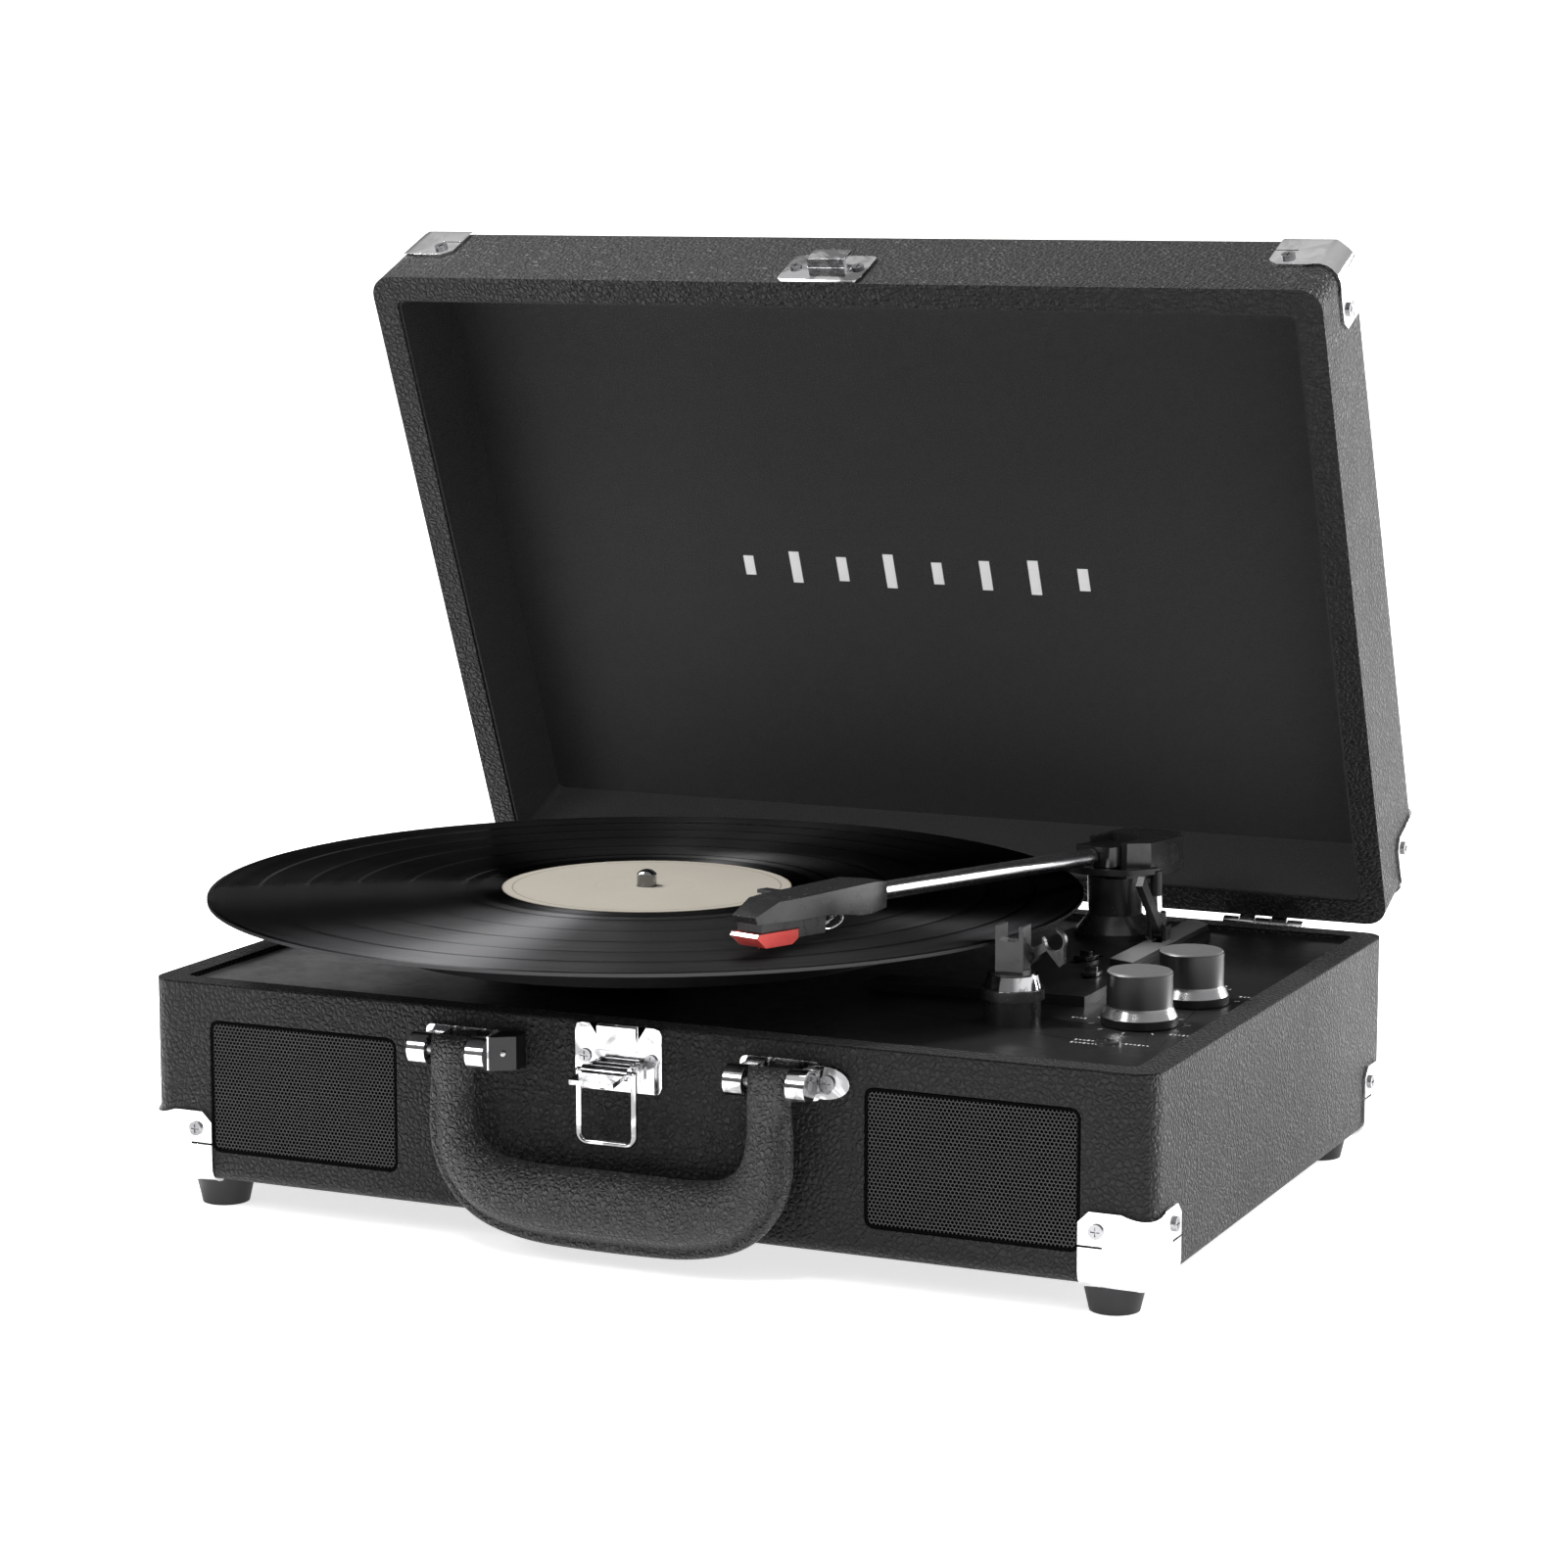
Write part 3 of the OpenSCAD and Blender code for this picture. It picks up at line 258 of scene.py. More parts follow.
def chrome(name, color, rough, dent_mm=0.02, smoke=0.6):
    """Plated pressed steel: slight waviness, smoky haze and hairline rubbing."""
    m = Mat(name)
    m.set(metal=1.0)
    waves = m.noise(90, 2.0, 0.5)
    haze = m.noise(420, 4.0, 0.65)
    hair = m.node("ShaderNodeMapping")
    hair.inputs["Scale"].default_value = (1.0, 1.0, 9.0)
    m.link(m.place, hair.inputs["Vector"])
    rub = m.noise(900, 2.0, 0.6, place=hair.outputs[0])
    cloud = m.remap(m.noise(75, 3.0, 0.55, distortion=1.0), 0.40, 0.56, 0, 1, smooth=True)
    tint = m.mix(cloud, tuple(c * smoke for c in color), color)
    hazy = m.remap(haze, 0.3, 0.75, rough, rough + 0.07)
    roughness = m.math("ADD", hazy, m.remap(rub, 0.4, 0.8, 0.0, 0.05))
    normal = m.bump(rub, 0.0015 * MM, under=m.bump(waves, dent_mm * MM))
    return m.use(color=tint, rough=roughness, normal=normal)


def brushed(name, color, rough):
    """Bare metal brushed around the vertical axis."""
    m = Mat(name)
    m.set(metal=1.0)
    mapping = m.node("ShaderNodeMapping")
    mapping.inputs["Scale"].default_value = (1, 1, 30)
    m.link(m.place, mapping.inputs["Vector"])
    lines = m.noise(700, 3.0, 0.6, place=mapping.outputs[0])
    tint = m.mix(m.noise(60, 3.0), tuple(c * 0.85 for c in color), color)
    roughness = m.remap(lines, 0.3, 0.7, rough - 0.05, rough + 0.08)
    return m.use(color=tint, rough=roughness, normal=m.bump(lines, 0.004 * MM))


def vinyl():
    """Pressed record: grooves, track gaps, smooth lead-in and run-out.

    The grooves spread a highlight outwards from the spindle, so the tangent points that way.
    """
    m = Mat("vinyl_grooves")
    m.set(color=(0.042, 0.042, 0.043), metal=1.0, aniso=0.95)
    m.bsdf.inputs["Specular Tint"].default_value = (0.10, 0.10, 0.10, 1)
    across = m.node("ShaderNodeVectorTransform", vector_type="VECTOR")
    across.convert_from, across.convert_to = "OBJECT", "WORLD"
    m.link(m.outward(SPINDLE), across.inputs[0])
    unit = m.node("ShaderNodeVectorMath", operation="NORMALIZE")
    m.link(across.outputs[0], unit.inputs[0])
    m.link(unit.outputs[0], m.bsdf.inputs["Tangent"])
    r = m.radius(SPINDLE)
    wave = m.node("ShaderNodeCombineXYZ")
    m.link(m.math("MULTIPLY", r, 1000), wave.inputs[0])
    tracks = m.noise(1.6, 3.0, 0.75, place=wave.outputs[0])
    bands = m.noise(0.16, 2.0, 0.4, place=wave.outputs[0])
    grooves = m.math("SINE", m.math("MULTIPLY", r, 2 * math.pi / (1.1 * MM)))
    gaps = None
    for gap_mm in (64, 83, 101, 118, 134):
        dist = m.math("ABSOLUTE", m.math("SUBTRACT", r, gap_mm * MM))
        near = m.remap(dist, 0.5 * MM, 0.9 * MM, 1, 0, smooth=True)
        gaps = near if gaps is None else m.math("MAXIMUM", gaps, near)
    run_out = m.remap(r, 58 * MM, 59 * MM, 1, 0, smooth=True)
    lead_in = m.remap(r, 149.2 * MM, 149.8 * MM, 0, 1, smooth=True)
    plain = m.math("MAXIMUM", gaps, m.math("MAXIMUM", run_out, lead_in))
    played = m.math("SUBTRACT", 1.0, plain)
    height = m.math("MULTIPLY", m.math("ADD", tracks, m.math("MULTIPLY", grooves, 0.15)), played)
    wear = m.noise(35, 3.0, 0.6)
    rough = m.math("ADD", m.remap(bands, 0.3, 0.7, 0.42, 0.52), m.remap(wear, 0.3, 0.7, -0.02, 0.03))
    rough = m.math("SUBTRACT", rough, m.math("MULTIPLY", plain, 0.18))
    return m.use(rough=rough, normal=m.bump(height, 0.006 * MM))


def label_paper():
    """Cream paper with a printed ring, a pressed ring round the spindle and a darker cut edge."""
    m = Mat("label_paper")
    m.set(spec=0.08)
    r = m.radius(SPINDLE)
    fibre = m.noise(900, 4.0, 0.7)
    cloud = m.noise(40, 3.0, 0.6)
    blend = m.math("ADD", m.math("MULTIPLY", fibre, 0.5), m.math("MULTIPLY", cloud, 0.5))
    paper = m.mix(blend, (0.226, 0.208, 0.177), (0.290, 0.270, 0.236))
    ring = m.math("ABSOLUTE", m.math("SUBTRACT", r, 46.4 * MM))
    ink = m.remap(ring, 0.16 * MM, 0.3 * MM, 0.85, 0)
    inner = m.math("ABSOLUTE", m.math("SUBTRACT", r, 17.0 * MM))
    press = m.remap(inner, 0.2 * MM, 0.9 * MM, 1, 0, smooth=True)
    edge = m.remap(r, 49.2 * MM, 49.9 * MM, 0, 0.7)
    color = m.mix(m.math("MAXIMUM", ink, edge), paper, (0.12, 0.10, 0.075))
    height = m.math("SUBTRACT", m.math("MULTIPLY", fibre, 0.25), press)
    return m.use(color=color, rough=m.remap(cloud, 0, 1, 0.68, 0.82), normal=m.bump(height, 0.06 * MM))


def knob_material():
    """Satin body, matte turned top painted paler grey as painted light from above, and a polished ring
    above the skirt.
    """
    m = Mat("knob_finish")
    m.set(spec=0.5)
    split = m.node("ShaderNodeSeparateXYZ")
    m.link(m.place, split.inputs[0])
    z = split.outputs[2]
    low, high = DECK_Z + 3.0 * MM, DECK_Z + 6.45 * MM
    above, below = m.remap(z, low, low + 0.1 * MM, 0, 1), m.remap(z, high - 0.1 * MM, high, 1, 0)
    ring = m.math("MULTIPLY", above, below)
    top = m.remap(z, DECK_Z + 17.2 * MM, DECK_Z + 17.4 * MM, 0, 1)
    cloud = m.noise(220, 4.0, 0.6)
    lines = m.node("ShaderNodeMapping")
    lines.inputs["Scale"].default_value = (1.0, 1.0, 22.0)
    m.link(m.place, lines.inputs["Vector"])
    turned = m.noise(520, 2.0, 0.6, place=lines.outputs[0])
    body = m.mix(cloud, (0.003, 0.003, 0.0033), (0.006, 0.006, 0.0065))
    # Painted light: the top face is painted paler grey than the body
    body = m.mix(top, body, (0.085, 0.085, 0.086))
    color = m.mix(ring, body, (0.30, 0.30, 0.305))
    rough = m.math("ADD", m.remap(turned, 0.3, 0.7, 0.28, 0.38), m.math("MULTIPLY", top, 0.2))
    rough = m.math("SUBTRACT", rough, m.math("MULTIPLY", ring, 0.14))
    metal = m.math("MULTIPLY", ring, 0.9)
    return m.use(color=color, rough=rough, metal=metal, normal=m.bump(turned, 0.01 * MM))


def two_part_metal(name, across, edge, black_above):
    """Bright plate on one side of a plane across an axis, black on the other side: black plastic on
    the lift bar, and a painted dark reflection on the left handle bracket's block.
    """
    m = Mat(name)
    m.set(spec=0.4)
    split = m.node("ShaderNodeSeparateXYZ")
    m.link(m.place, split.inputs[0])
    at = split.outputs[across]
    ends = (1, 0) if black_above else (0, 1)
    plated = m.remap(at, edge - 0.05 * MM, edge + 0.05 * MM, *ends)
    haze = m.noise(420, 4.0, 0.65)
    color = m.mix(plated, (0.008, 0.008, 0.0085), m.mix(haze, (0.82, 0.82, 0.83), (0.88, 0.88, 0.89)))
    rough = m.math("ADD", m.remap(plated, 0, 1, 0.30, 0.07), m.remap(haze, 0.3, 0.75, 0.0, 0.07))
    return m.use(color=color, rough=rough, metal=plated, normal=m.bump(m.noise(90, 2.0), 0.02 * MM))


def tube_and_yoke():
    """Satin silver tube whose end block in the housing is black."""
    m = Mat("tube_and_yoke")
    m.set(spec=0.45)
    silver = m.remap(m.radius(ARM_PIVOT), 16.2 * MM, 16.4 * MM, 0, 1)
    lines = m.noise(2600, 3.0, 0.6)
    cloud = m.noise(60, 3.0)
    color = m.mix(silver, (0.007, 0.007, 0.0075), m.mix(cloud, (0.48, 0.48, 0.49), (0.62, 0.62, 0.63)))
    rough = m.math("ADD", m.remap(silver, 0, 1, 0.28, 0.22), m.remap(lines, 0.3, 0.7, -0.03, 0.06))
    return m.use(color=color, rough=rough, metal=silver, normal=m.bump(lines, 0.004 * MM))


def plinth_material():
    """Satin black moulding whose raised strip has its top face painted paler grey as painted light
    from above.
    """
    m = Mat("plinth_finish")
    m.set(spec=0.45)
    split = m.node("ShaderNodeSeparateXYZ")
    m.link(m.place, split.inputs[0])
    low = m.remap(split.outputs[2], STRIP_Z - 0.1 * MM, STRIP_Z + 0.05 * MM, 0, 1)
    high = m.remap(split.outputs[2], STRIP_Z + 0.4 * MM, STRIP_Z + 0.5 * MM, 1, 0)
    strip = m.math("MULTIPLY", low, high)
    cloud = m.noise(28, 4.0, 0.6)
    body = m.mix(cloud, (0.009, 0.009, 0.0095), (0.015, 0.015, 0.0155))
    # Painted light: the top face of the raised strip is painted pale grey
    color = m.mix(strip, body, (0.17, 0.17, 0.172))
    fine = m.noise(2500, 2.0, 0.6)
    rough = m.math("ADD", m.remap(cloud, 0, 1, 0.24, 0.34), m.remap(fine, 0.3, 0.7, -0.02, 0.03))
    return m.use(color=color, rough=rough, normal=m.bump(fine, 0.01 * MM))


def felt():
    """Pressed felt of the slip mat."""
    m = Mat("slip_mat")
    m.set(spec=0.2, sheen=0.2, sheen_rough=0.5)
    weave = m.noise(1500, 4.0, 0.75)
    color = m.mix(weave, (0.012, 0.012, 0.012), (0.035, 0.035, 0.036))
    return m.use(color=color, rough=m.remap(weave, 0, 1, 0.8, 0.95), normal=m.bump(weave, 0.15 * MM))


def board():
    """Green circuit board with tracks under its lacquer."""
    m = Mat("circuit_board")
    tracks = m.cells(260, feature="F1", randomness=0.6)
    color = m.mix(m.remap(tracks, 0.3, 0.5, 0, 1), (0.02, 0.11, 0.05), (0.04, 0.2, 0.09))
    rough = m.remap(m.noise(120), 0, 1, 0.35, 0.5)
    return m.use(color=color, rough=rough, normal=m.bump(tracks, 0.05 * MM))


def fibre_board():
    """Dark pressed fibre board of the underside."""
    m = Mat("fibre_board")
    m.set(spec=0.3)
    fibre = m.noise(650, 5.0, 0.75, distortion=0.6)
    color = m.mix(fibre, (0.012, 0.011, 0.010), (0.035, 0.032, 0.029))
    return m.use(color=color, rough=m.remap(fibre, 0, 1, 0.6, 0.85), normal=m.bump(fibre, 0.12 * MM))


def red_clear():
    """Clear red plastic of the stylus block."""
    m = Mat("red_clear")
    m.set(spec=0.6, coat=0.4, coat_rough=0.06, subsurface=0.15)
    cloud = m.noise(300, 3.0, 0.5)
    color = m.mix(cloud, (0.52, 0.050, 0.043), (0.66, 0.085, 0.076))
    rough = m.remap(cloud, 0, 1, 0.14, 0.24)
    return m.use(color=color, rough=rough, normal=m.bump(m.noise(900), 0.006 * MM))


def print_ink(name, grey):
    """Screen-printed pale ink with small specks."""
    m = Mat(name)
    speck = m.noise(2200, 3.0, 0.7)
    color = m.mix(speck, (grey * 0.86,) * 3, (grey,) * 3)
    return m.use(color=color, rough=m.remap(speck, 0, 1, 0.4, 0.55), normal=m.bump(speck, 0.01 * MM))


COVER_DARK, COVER_LIGHT = (0.003, 0.003, 0.0032), (0.011, 0.011, 0.0115)
LEATHER = leather("leatherette", COVER_DARK, COVER_LIGHT, 2.0, 0.42, depth_mm=0.6, spec=0.24)
BASE_LEATHER = leather("case_leatherette", COVER_DARK, COVER_LIGHT, 2.0, 0.42, depth_mm=0.6, spec=0.24,
                       rim_z=RIM_Z)
# The lining's lower part is painted paler: painted light
LINING = leather("lid_lining", (0.011, 0.011, 0.0112), (0.017, 0.017, 0.0175), 1.0, 0.58,
                 depth_mm=0.15, spec=0.25, pale_below=(0.08, 0.27))
GRIP = leather("grip_leather", (0.004, 0.004, 0.0042), (0.034, 0.034, 0.035), 1.8, 0.30,
               depth_mm=1.1, spec=0.6, crease_mm=0.3)
DECK = plastic("deck_black", (0.010, 0.010, 0.0105), 0.38, 0.35, 0.012, spec=0.25)
SATIN = plastic("satin_black", (0.011, 0.011, 0.0115), 0.30, 0.4, 0.01)
PLATTER = plastic("platter_black", (0.003, 0.003, 0.0032), 0.55, 0.4, 0.01, spec=0.08)
GLOSS = plastic("gloss_black", (0.020, 0.020, 0.0205), 0.24, 0.8, 0.003, spec=0.6)
DARK_GREY = plastic("dark_grey", (0.014, 0.014, 0.0145), 0.24, 0.4, 0.01)
RUBBER = plastic("foot_rubber", (0.022, 0.022, 0.023), 0.55, 0.5, 0.02, spec=0.3)
GRILLE = plastic("grille_paint", (0.040, 0.040, 0.041), 0.5, 0.3, 0.008, spec=0.2)
CONE_AND_HOLE_SHADE = plastic("speaker_paper_and_hole_shade", (0.0012, 0.0012, 0.0012), 0.9, 0.5, 0.03, spec=0.04)
# The block of the left bracket is painted black: a painted dark reflection of the plated tab
BRACKET = two_part_metal("bracket_finish", across=0, edge=BLOCK_X, black_above=True)
LIFT = two_part_metal("lift_finish", across=2, edge=LIFT_CUFF_Z, black_above=True)
ARM_TUBE = tube_and_yoke()
PLINTH = plinth_material()
CHROME = chrome("chrome", (0.74, 0.74, 0.75), 0.06, dent_mm=0.05, smoke=0.3)
CAPS = chrome("corner_chrome", (0.88, 0.88, 0.89), 0.10, dent_mm=0.06, smoke=0.8)
SCREWS = chrome("screw_plate", (0.34, 0.34, 0.35), 0.2)
STEEL = brushed("plain_steel", (0.5, 0.5, 0.51), 0.35)
BRASS = brushed("turned_brass", (0.72, 0.55, 0.28), 0.28)
VINYL = vinyl()
LABEL = label_paper()
KNOB = knob_material()
FELT = felt()
BOARD = board()
FIBRE = fibre_board()
RED = red_clear()
INK = print_ink("print_ink", 0.86)
DECK_INK = print_ink("deck_ink", 0.45)

# Nodes of the CAD, by finish
FINISH = [
    (BASE_LEATHER, "base_shell"),
    (FIBRE, "bottom_panel"),
    (DECK, "deck_panel"),
    (RUBBER, "feet drive_belt"),
    (SCREWS, "base_screws headphone_jack lid_screws"),
    (CAPS, "base_corner_fl base_corner_fr base_corner_bl base_corner_br lid_corner_fl "
           "lid_corner_fr lid_corner_bl lid_corner_br"),
    (CONE_AND_HOLE_SHADE, "speaker_l speaker_r"),
    (CHROME, "hinge_base_leaves latch_plate handle_bracket_r spindle arm_rest_ring lid_catch "
             "hinge_lid_leaves latch_lever latch_bail"),
    (STEEL, "pivot_pins motor rear_jacks potentiometers"),
    (BRACKET, "handle_bracket_l"),
    (BOARD, "main_board"),
    (SATIN, "rear_plate cartridge cue_lever speed_slider stop_slider"),
    (PLINTH, "control_plinth"),
    (DARK_GREY, "arm_rest headshell arm_clip"),
    (GLOSS, "arm_pedestal arm_housing"),
    (LEATHER, "lid_shell"),
    (LINING, "lid_lining"),
    (INK, "lid_emblem"),
    (PLATTER, "platter"),
    (FELT, "platter_mat"),
    (VINYL, "vinyl_record"),
    (LABEL, "record_label"),
    (BRASS, "motor_pulley"),
    (ARM_TUBE, "arm_tube"),
    (RED, "stylus_block"),
    (LIFT, "lift_bar"),
    (KNOB, "knob_volume knob_function"),
]

# Nodes with softened edges, by the width of the edge in millimetres
EDGE = {
    1.0: "arm_housing",
    0.7: "base_shell lid_shell",
    0.6: "headshell feet",
    0.5: "control_plinth",
    0.4: "cartridge stylus_block cue_lever handle_bracket_l handle_bracket_r",
    0.35: "arm_rest base_corner_fl base_corner_fr base_corner_bl base_corner_br lid_corner_fl "
          "lid_corner_fr lid_corner_bl lid_corner_br",
    0.3: "arm_clip deck_panel latch_plate lid_catch speed_slider stop_slider arm_tube "
         "latch_lever",
}


def clean_edges_group():
    """Joins split corners, and keeps an edge sharp only where it turns by more than SMOOTH_ANGLE."""
    group = bpy.data.node_groups.new("clean_edges", "GeometryNodeTree")
    group.interface.new_socket("Geometry", in_out="INPUT", socket_type="NodeSocketGeometry")
    group.interface.new_socket("Geometry", in_out="OUTPUT", socket_type="NodeSocketGeometry")
    nodes, links = group.nodes, group.links
    start, end = nodes.new("NodeGroupInput"), nodes.new("NodeGroupOutput")
    merge = nodes.new("GeometryNodeMergeByDistance")
    merge.inputs["Distance"].default_value = 2e-6
    forget = nodes.new("GeometryNodeRemoveAttribute")
    forget.inputs["Name"].default_value = "custom_normal"
    faces = nodes.new("GeometryNodeSetShadeSmooth")
    edges = nodes.new("GeometryNodeSetShadeSmooth")
    edges.domain = "EDGE"
    angle = nodes.new("GeometryNodeInputMeshEdgeAngle")
    compare = nodes.new("FunctionNodeCompare")
    compare.operation = "LESS_THAN"
    compare.inputs[1].default_value = SMOOTH_ANGLE
    links.new(angle.outputs[0], compare.inputs[0])
    links.new(compare.outputs[0], edges.inputs["Shade Smooth"])
    links.new(start.outputs[0], forget.inputs["Geometry"])
    links.new(forget.outputs[0], merge.inputs["Geometry"])
    links.new(merge.outputs[0], faces.inputs["Geometry"])
    links.new(faces.outputs[0], edges.inputs["Geometry"])
    links.new(edges.outputs[0], end.inputs[0])
    return group


CLEAN = clean_edges_group()


def dress(obj, material, edge_mm):
    """Gives a CAD node its finish, clean shading and, where edge_mm isn't 0, softened edges."""
    obj.data.materials.clear()
    obj.data.materials.append(material)
    obj.modifiers.new("clean", "NODES").node_group = CLEAN
    if edge_mm:
        soft = obj.modifiers.new("soft_edge", "BEVEL")
        soft.width = edge_mm * MM
        soft.segments = 2
        soft.limit_method = "ANGLE"
        soft.angle_limit = SMOOTH_ANGLE
        soft.harden_normals = True
        soft.use_clamp_overlap = True


edge_of = {name: edge for edge, names in EDGE.items() for name in names.split()}
for finish, names in FINISH:
    for name in names.split():
        dress(NODES[name], finish, edge_of.get(name, 0.0))


# ---------------------------------------------------------------- pieces
def piece(name, bm, material, body, smooth=True):
    """Makes an object of the mesh and lets it ride on a body."""
    mesh = bpy.data.meshes.new(name)
    bm.normal_update()
    bm.to_mesh(mesh)
    bm.free()
    obj = bpy.data.objects.new(name, mesh)
    bpy.context.scene.collection.objects.link(obj)
    for p in mesh.polygons:
        p.use_smooth = smooth
    mesh.materials.append(material)
    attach(obj, body)
    return obj


def rounded_outline(width, height, radius, steps=6):
    """Corner points of a rounded rectangle about the origin."""
    points = []
    for quarter in range(4):
        sx = 1 if quarter in (0, 3) else -1
        sy = 1 if quarter < 2 else -1
        for i in range(steps + 1):
            a = math.pi / 2 * (quarter + i / steps)
            x = sx * (width / 2 - radius) + radius * math.cos(a)
            y = sy * (height / 2 - radius) + radius * math.sin(a)
            points.append((x, y))
    return points


def perforated_grille(name, centre_x):
    """Pressed steel sheet with hexagonally packed round holes inside a plain folded border."""
    bm = bmesh.new()
    width, height = (v * MM for v in GRILLE_SIZE)
    pitch, hole = 1.36 * MM, 0.6 * MM
    plain = 0.9 * MM
    front, back = FRONT_Y + 0.3 * MM, FRONT_Y + 0.6 * MM
    cell = pitch / math.sqrt(3)
    row_step = pitch * math.sqrt(3) / 2
    corners = {}

    def corner(x, z):
        key = (round(x * 1e6), round(z * 1e6))
        if key not in corners:
            corners[key] = bm.verts.new((centre_x + x, front, GRILLE_Z + z))
        return corners[key]

    rows = int(height / 2 / row_step)
    cols = int(width / 2 / pitch)
    for row in range(-rows, rows + 1):
        for col in range(-cols, cols + 1):
            cx = (col + (0.5 if row % 2 else 0.0)) * pitch
            cz = row * row_step
            if abs(cx) > width / 2 - plain or abs(cz) > height / 2 - plain:
                continue
            outer, inner, deep = [], [], []
            for k in range(6):
                a = math.pi / 6 + k * math.pi / 3
                outer.append(corner(cx + cell * math.cos(a), cz + cell * math.sin(a)))
                x, z = centre_x + cx + hole * math.cos(a), GRILLE_Z + cz + hole * math.sin(a)
                inner.append(bm.verts.new((x, front, z)))
                deep.append(bm.verts.new((x, back, z)))
            for k in range(6):
                n = (k + 1) % 6
                bm.faces.new((outer[k], inner[k], inner[n], outer[n]))
                # The hole walls take the near-black second material: painted shade inside the holes
                bm.faces.new((inner[k], deep[k], deep[n], inner[n])).material_index = 1
    # Black border, a shallow fold in front of the cut edge of the pattern
    loops = []
    fold = front - 0.18 * MM
    for inset, y in ((0.0, back), (0.0, front), (0.25, fold), (0.95, fold), (1.15, front + 0.02 * MM)):
        ring = []
        outline = (width - 2 * inset * MM, height - 2 * inset * MM, (3.0 - inset * 0.8) * MM)
        for x, z in rounded_outline(*outline):
            ring.append(bm.verts.new((centre_x + x, y, GRILLE_Z + z)))
        loops.append(ring)
    for a, b in zip(loops, loops[1:]):
        for k in range(len(a)):
            n = (k + 1) % len(a)
            bm.faces.new((a[k], a[n], b[n], b[k])).material_index = 1
    # Near-black sheet right behind the holes: painted shade seen through them
    shade_sheet_y = back + 0.12 * MM
    across, up = width / 2 - MM, height / 2 - MM
    ends = [(-across, -up), (across, -up), (across, up), (-across, up)]
    sheet = [bm.verts.new((centre_x + x, shade_sheet_y, GRILLE_Z + z)) for x, z in ends]
    bm.faces.new(sheet).material_index = 1
    made = piece(name, bm, GRILLE, "case", smooth=False)
    # The near-black second material: the border's black, and painted shade on the hole walls and the
    # sheet behind
    made.data.materials.append(CONE_AND_HOLE_SHADE)
    return made


for side, node in ((-1, "grille_l"), (1, "grille_r")):
    made = perforated_grille(node.replace("grille", "perforated_grille"), side * GRILLE_X)
    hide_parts(node)


# Centre line of half the grip: distance out, drop, half-width and half-thickness, in millimetres
GRIP_PATH = [
    (56.5, 5.05, 7.1, 0.6), (56.5, 4.3, 7.2, 2.9), (56.5, 2.6, 7.2, 4.4),
    (56.5, 0.0, 7.2, 5.05), (56.5, -7.0, 7.3, 5.1), (56.8, -13.0, 7.4, 5.5),
    (56.9, -18.0, 7.6, 6.2), (55.9, -28.0, 8.6, 7.2), (51.5, -37.0, 10.2, 7.8),
    (42.5, -44.0, 11.8, 8.5), (28.5, -47.0, 12.8, 8.5), (12.0, -47.5, 13.3, 8.5),
]


def smooth_path(points, steps):
    """Catmull-Rom through the points, steps points between each pair."""
    out = []
    for i in range(len(points) - 1):
        p = [Vector(points[max(0, min(len(points) - 1, i + k))]) for k in (-1, 0, 1, 2)]
        for s in range(steps):
            t = s / steps
            square = 2 * p[0] - 5 * p[1] + 4 * p[2] - p[3]
            cube = 3 * p[1] - p[0] - 3 * p[2] + p[3]
            out.append(0.5 * (2 * p[1] + (p[2] - p[0]) * t + square * t * t + cube * t ** 3))
    out.append(Vector(points[-1]))
    return out


def grip_profile(half_w, half_t, welt):
    """Half cross-section of the grip: a padded roll with a flat flange along its outer edge."""
    flange = 3.6 * welt
    roll = half_w - flange / 2
    centre = -flange / 2
    power = 2.25
    points = []
    for k in range(0, 11):
        a = math.pi * (1 - k / 11.6)
        c, s = math.cos(a), math.sin(a)
        across = roll * math.copysign(abs(c) ** (2 / power), c)
        points.append((centre + across, half_t * abs(s) ** (2 / power)))
    inner_t = max(1.25, 0.16 * half_t) if welt > 0.02 else 0.12 * half_t
    flat_t = min(1.9, half_t)
    points.append((half_w - flange * 0.92, inner_t))
    points.append((half_w - flange * 0.70, flat_t * welt + inner_t * (1 - welt)))
    points.append((half_w - flange * 0.18 - 0.1, flat_t * 0.97 * welt + inner_t * 0.6 * (1 - welt)))
    points.append((half_w, 0.8 * welt + 0.05))
    return points


def padded_grip():
    """The carrying handle: its section swept along the path, with the welt outside the loop."""
    bm = bmesh.new()
    full = [(-x, z, w, t) for x, z, w, t in GRIP_PATH] + list(reversed(GRIP_PATH))
    line = smooth_path([(p[0], p[1], 0) for p in full], 5)
    size = smooth_path([(p[2], p[3], 0) for p in full], 5)
    rings = []
    for i, (here, wt) in enumerate(zip(line, size)):
        before, after = line[max(0, i - 1)], line[min(len(line) - 1, i + 1)]
        along = (after - before).normalized()
        outward = Vector((along.y, -along.x, 0))
        # The outer side of the loop is away from its middle
        if outward.dot(Vector((here.x, here.y + 12, 0))) < 0:
            outward = -outward
        welt = max(0.0, min(1.0, (-here.y - 6) / 8))
        half = grip_profile(wt.x, max(0.3, wt.y), welt)
        section = half + [(u, -v) for u, v in reversed(half)]
        ring = []
        for u, v in section:
            at = here + outward * u
            ring.append(bm.verts.new(HANDLE_PIVOT + Vector((at.x, v, at.y)) * MM))
        rings.append(ring)
    for a, b in zip(rings, rings[1:]):
        for k in range(len(a)):
            n = (k + 1) % len(a)
            bm.faces.new((a[k], a[n], b[n], b[k]))
    bm.faces.new(list(reversed(rings[0])))
    bm.faces.new(rings[-1])
    bmesh.ops.recalc_face_normals(bm, faces=bm.faces)
    made = piece("padded_grip", bm, GRIP, "handle")
    finer = made.modifiers.new("finer", "SUBSURF")
    finer.levels = finer.render_levels = 1
    return made


grip = padded_grip()
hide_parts("handle_grip")


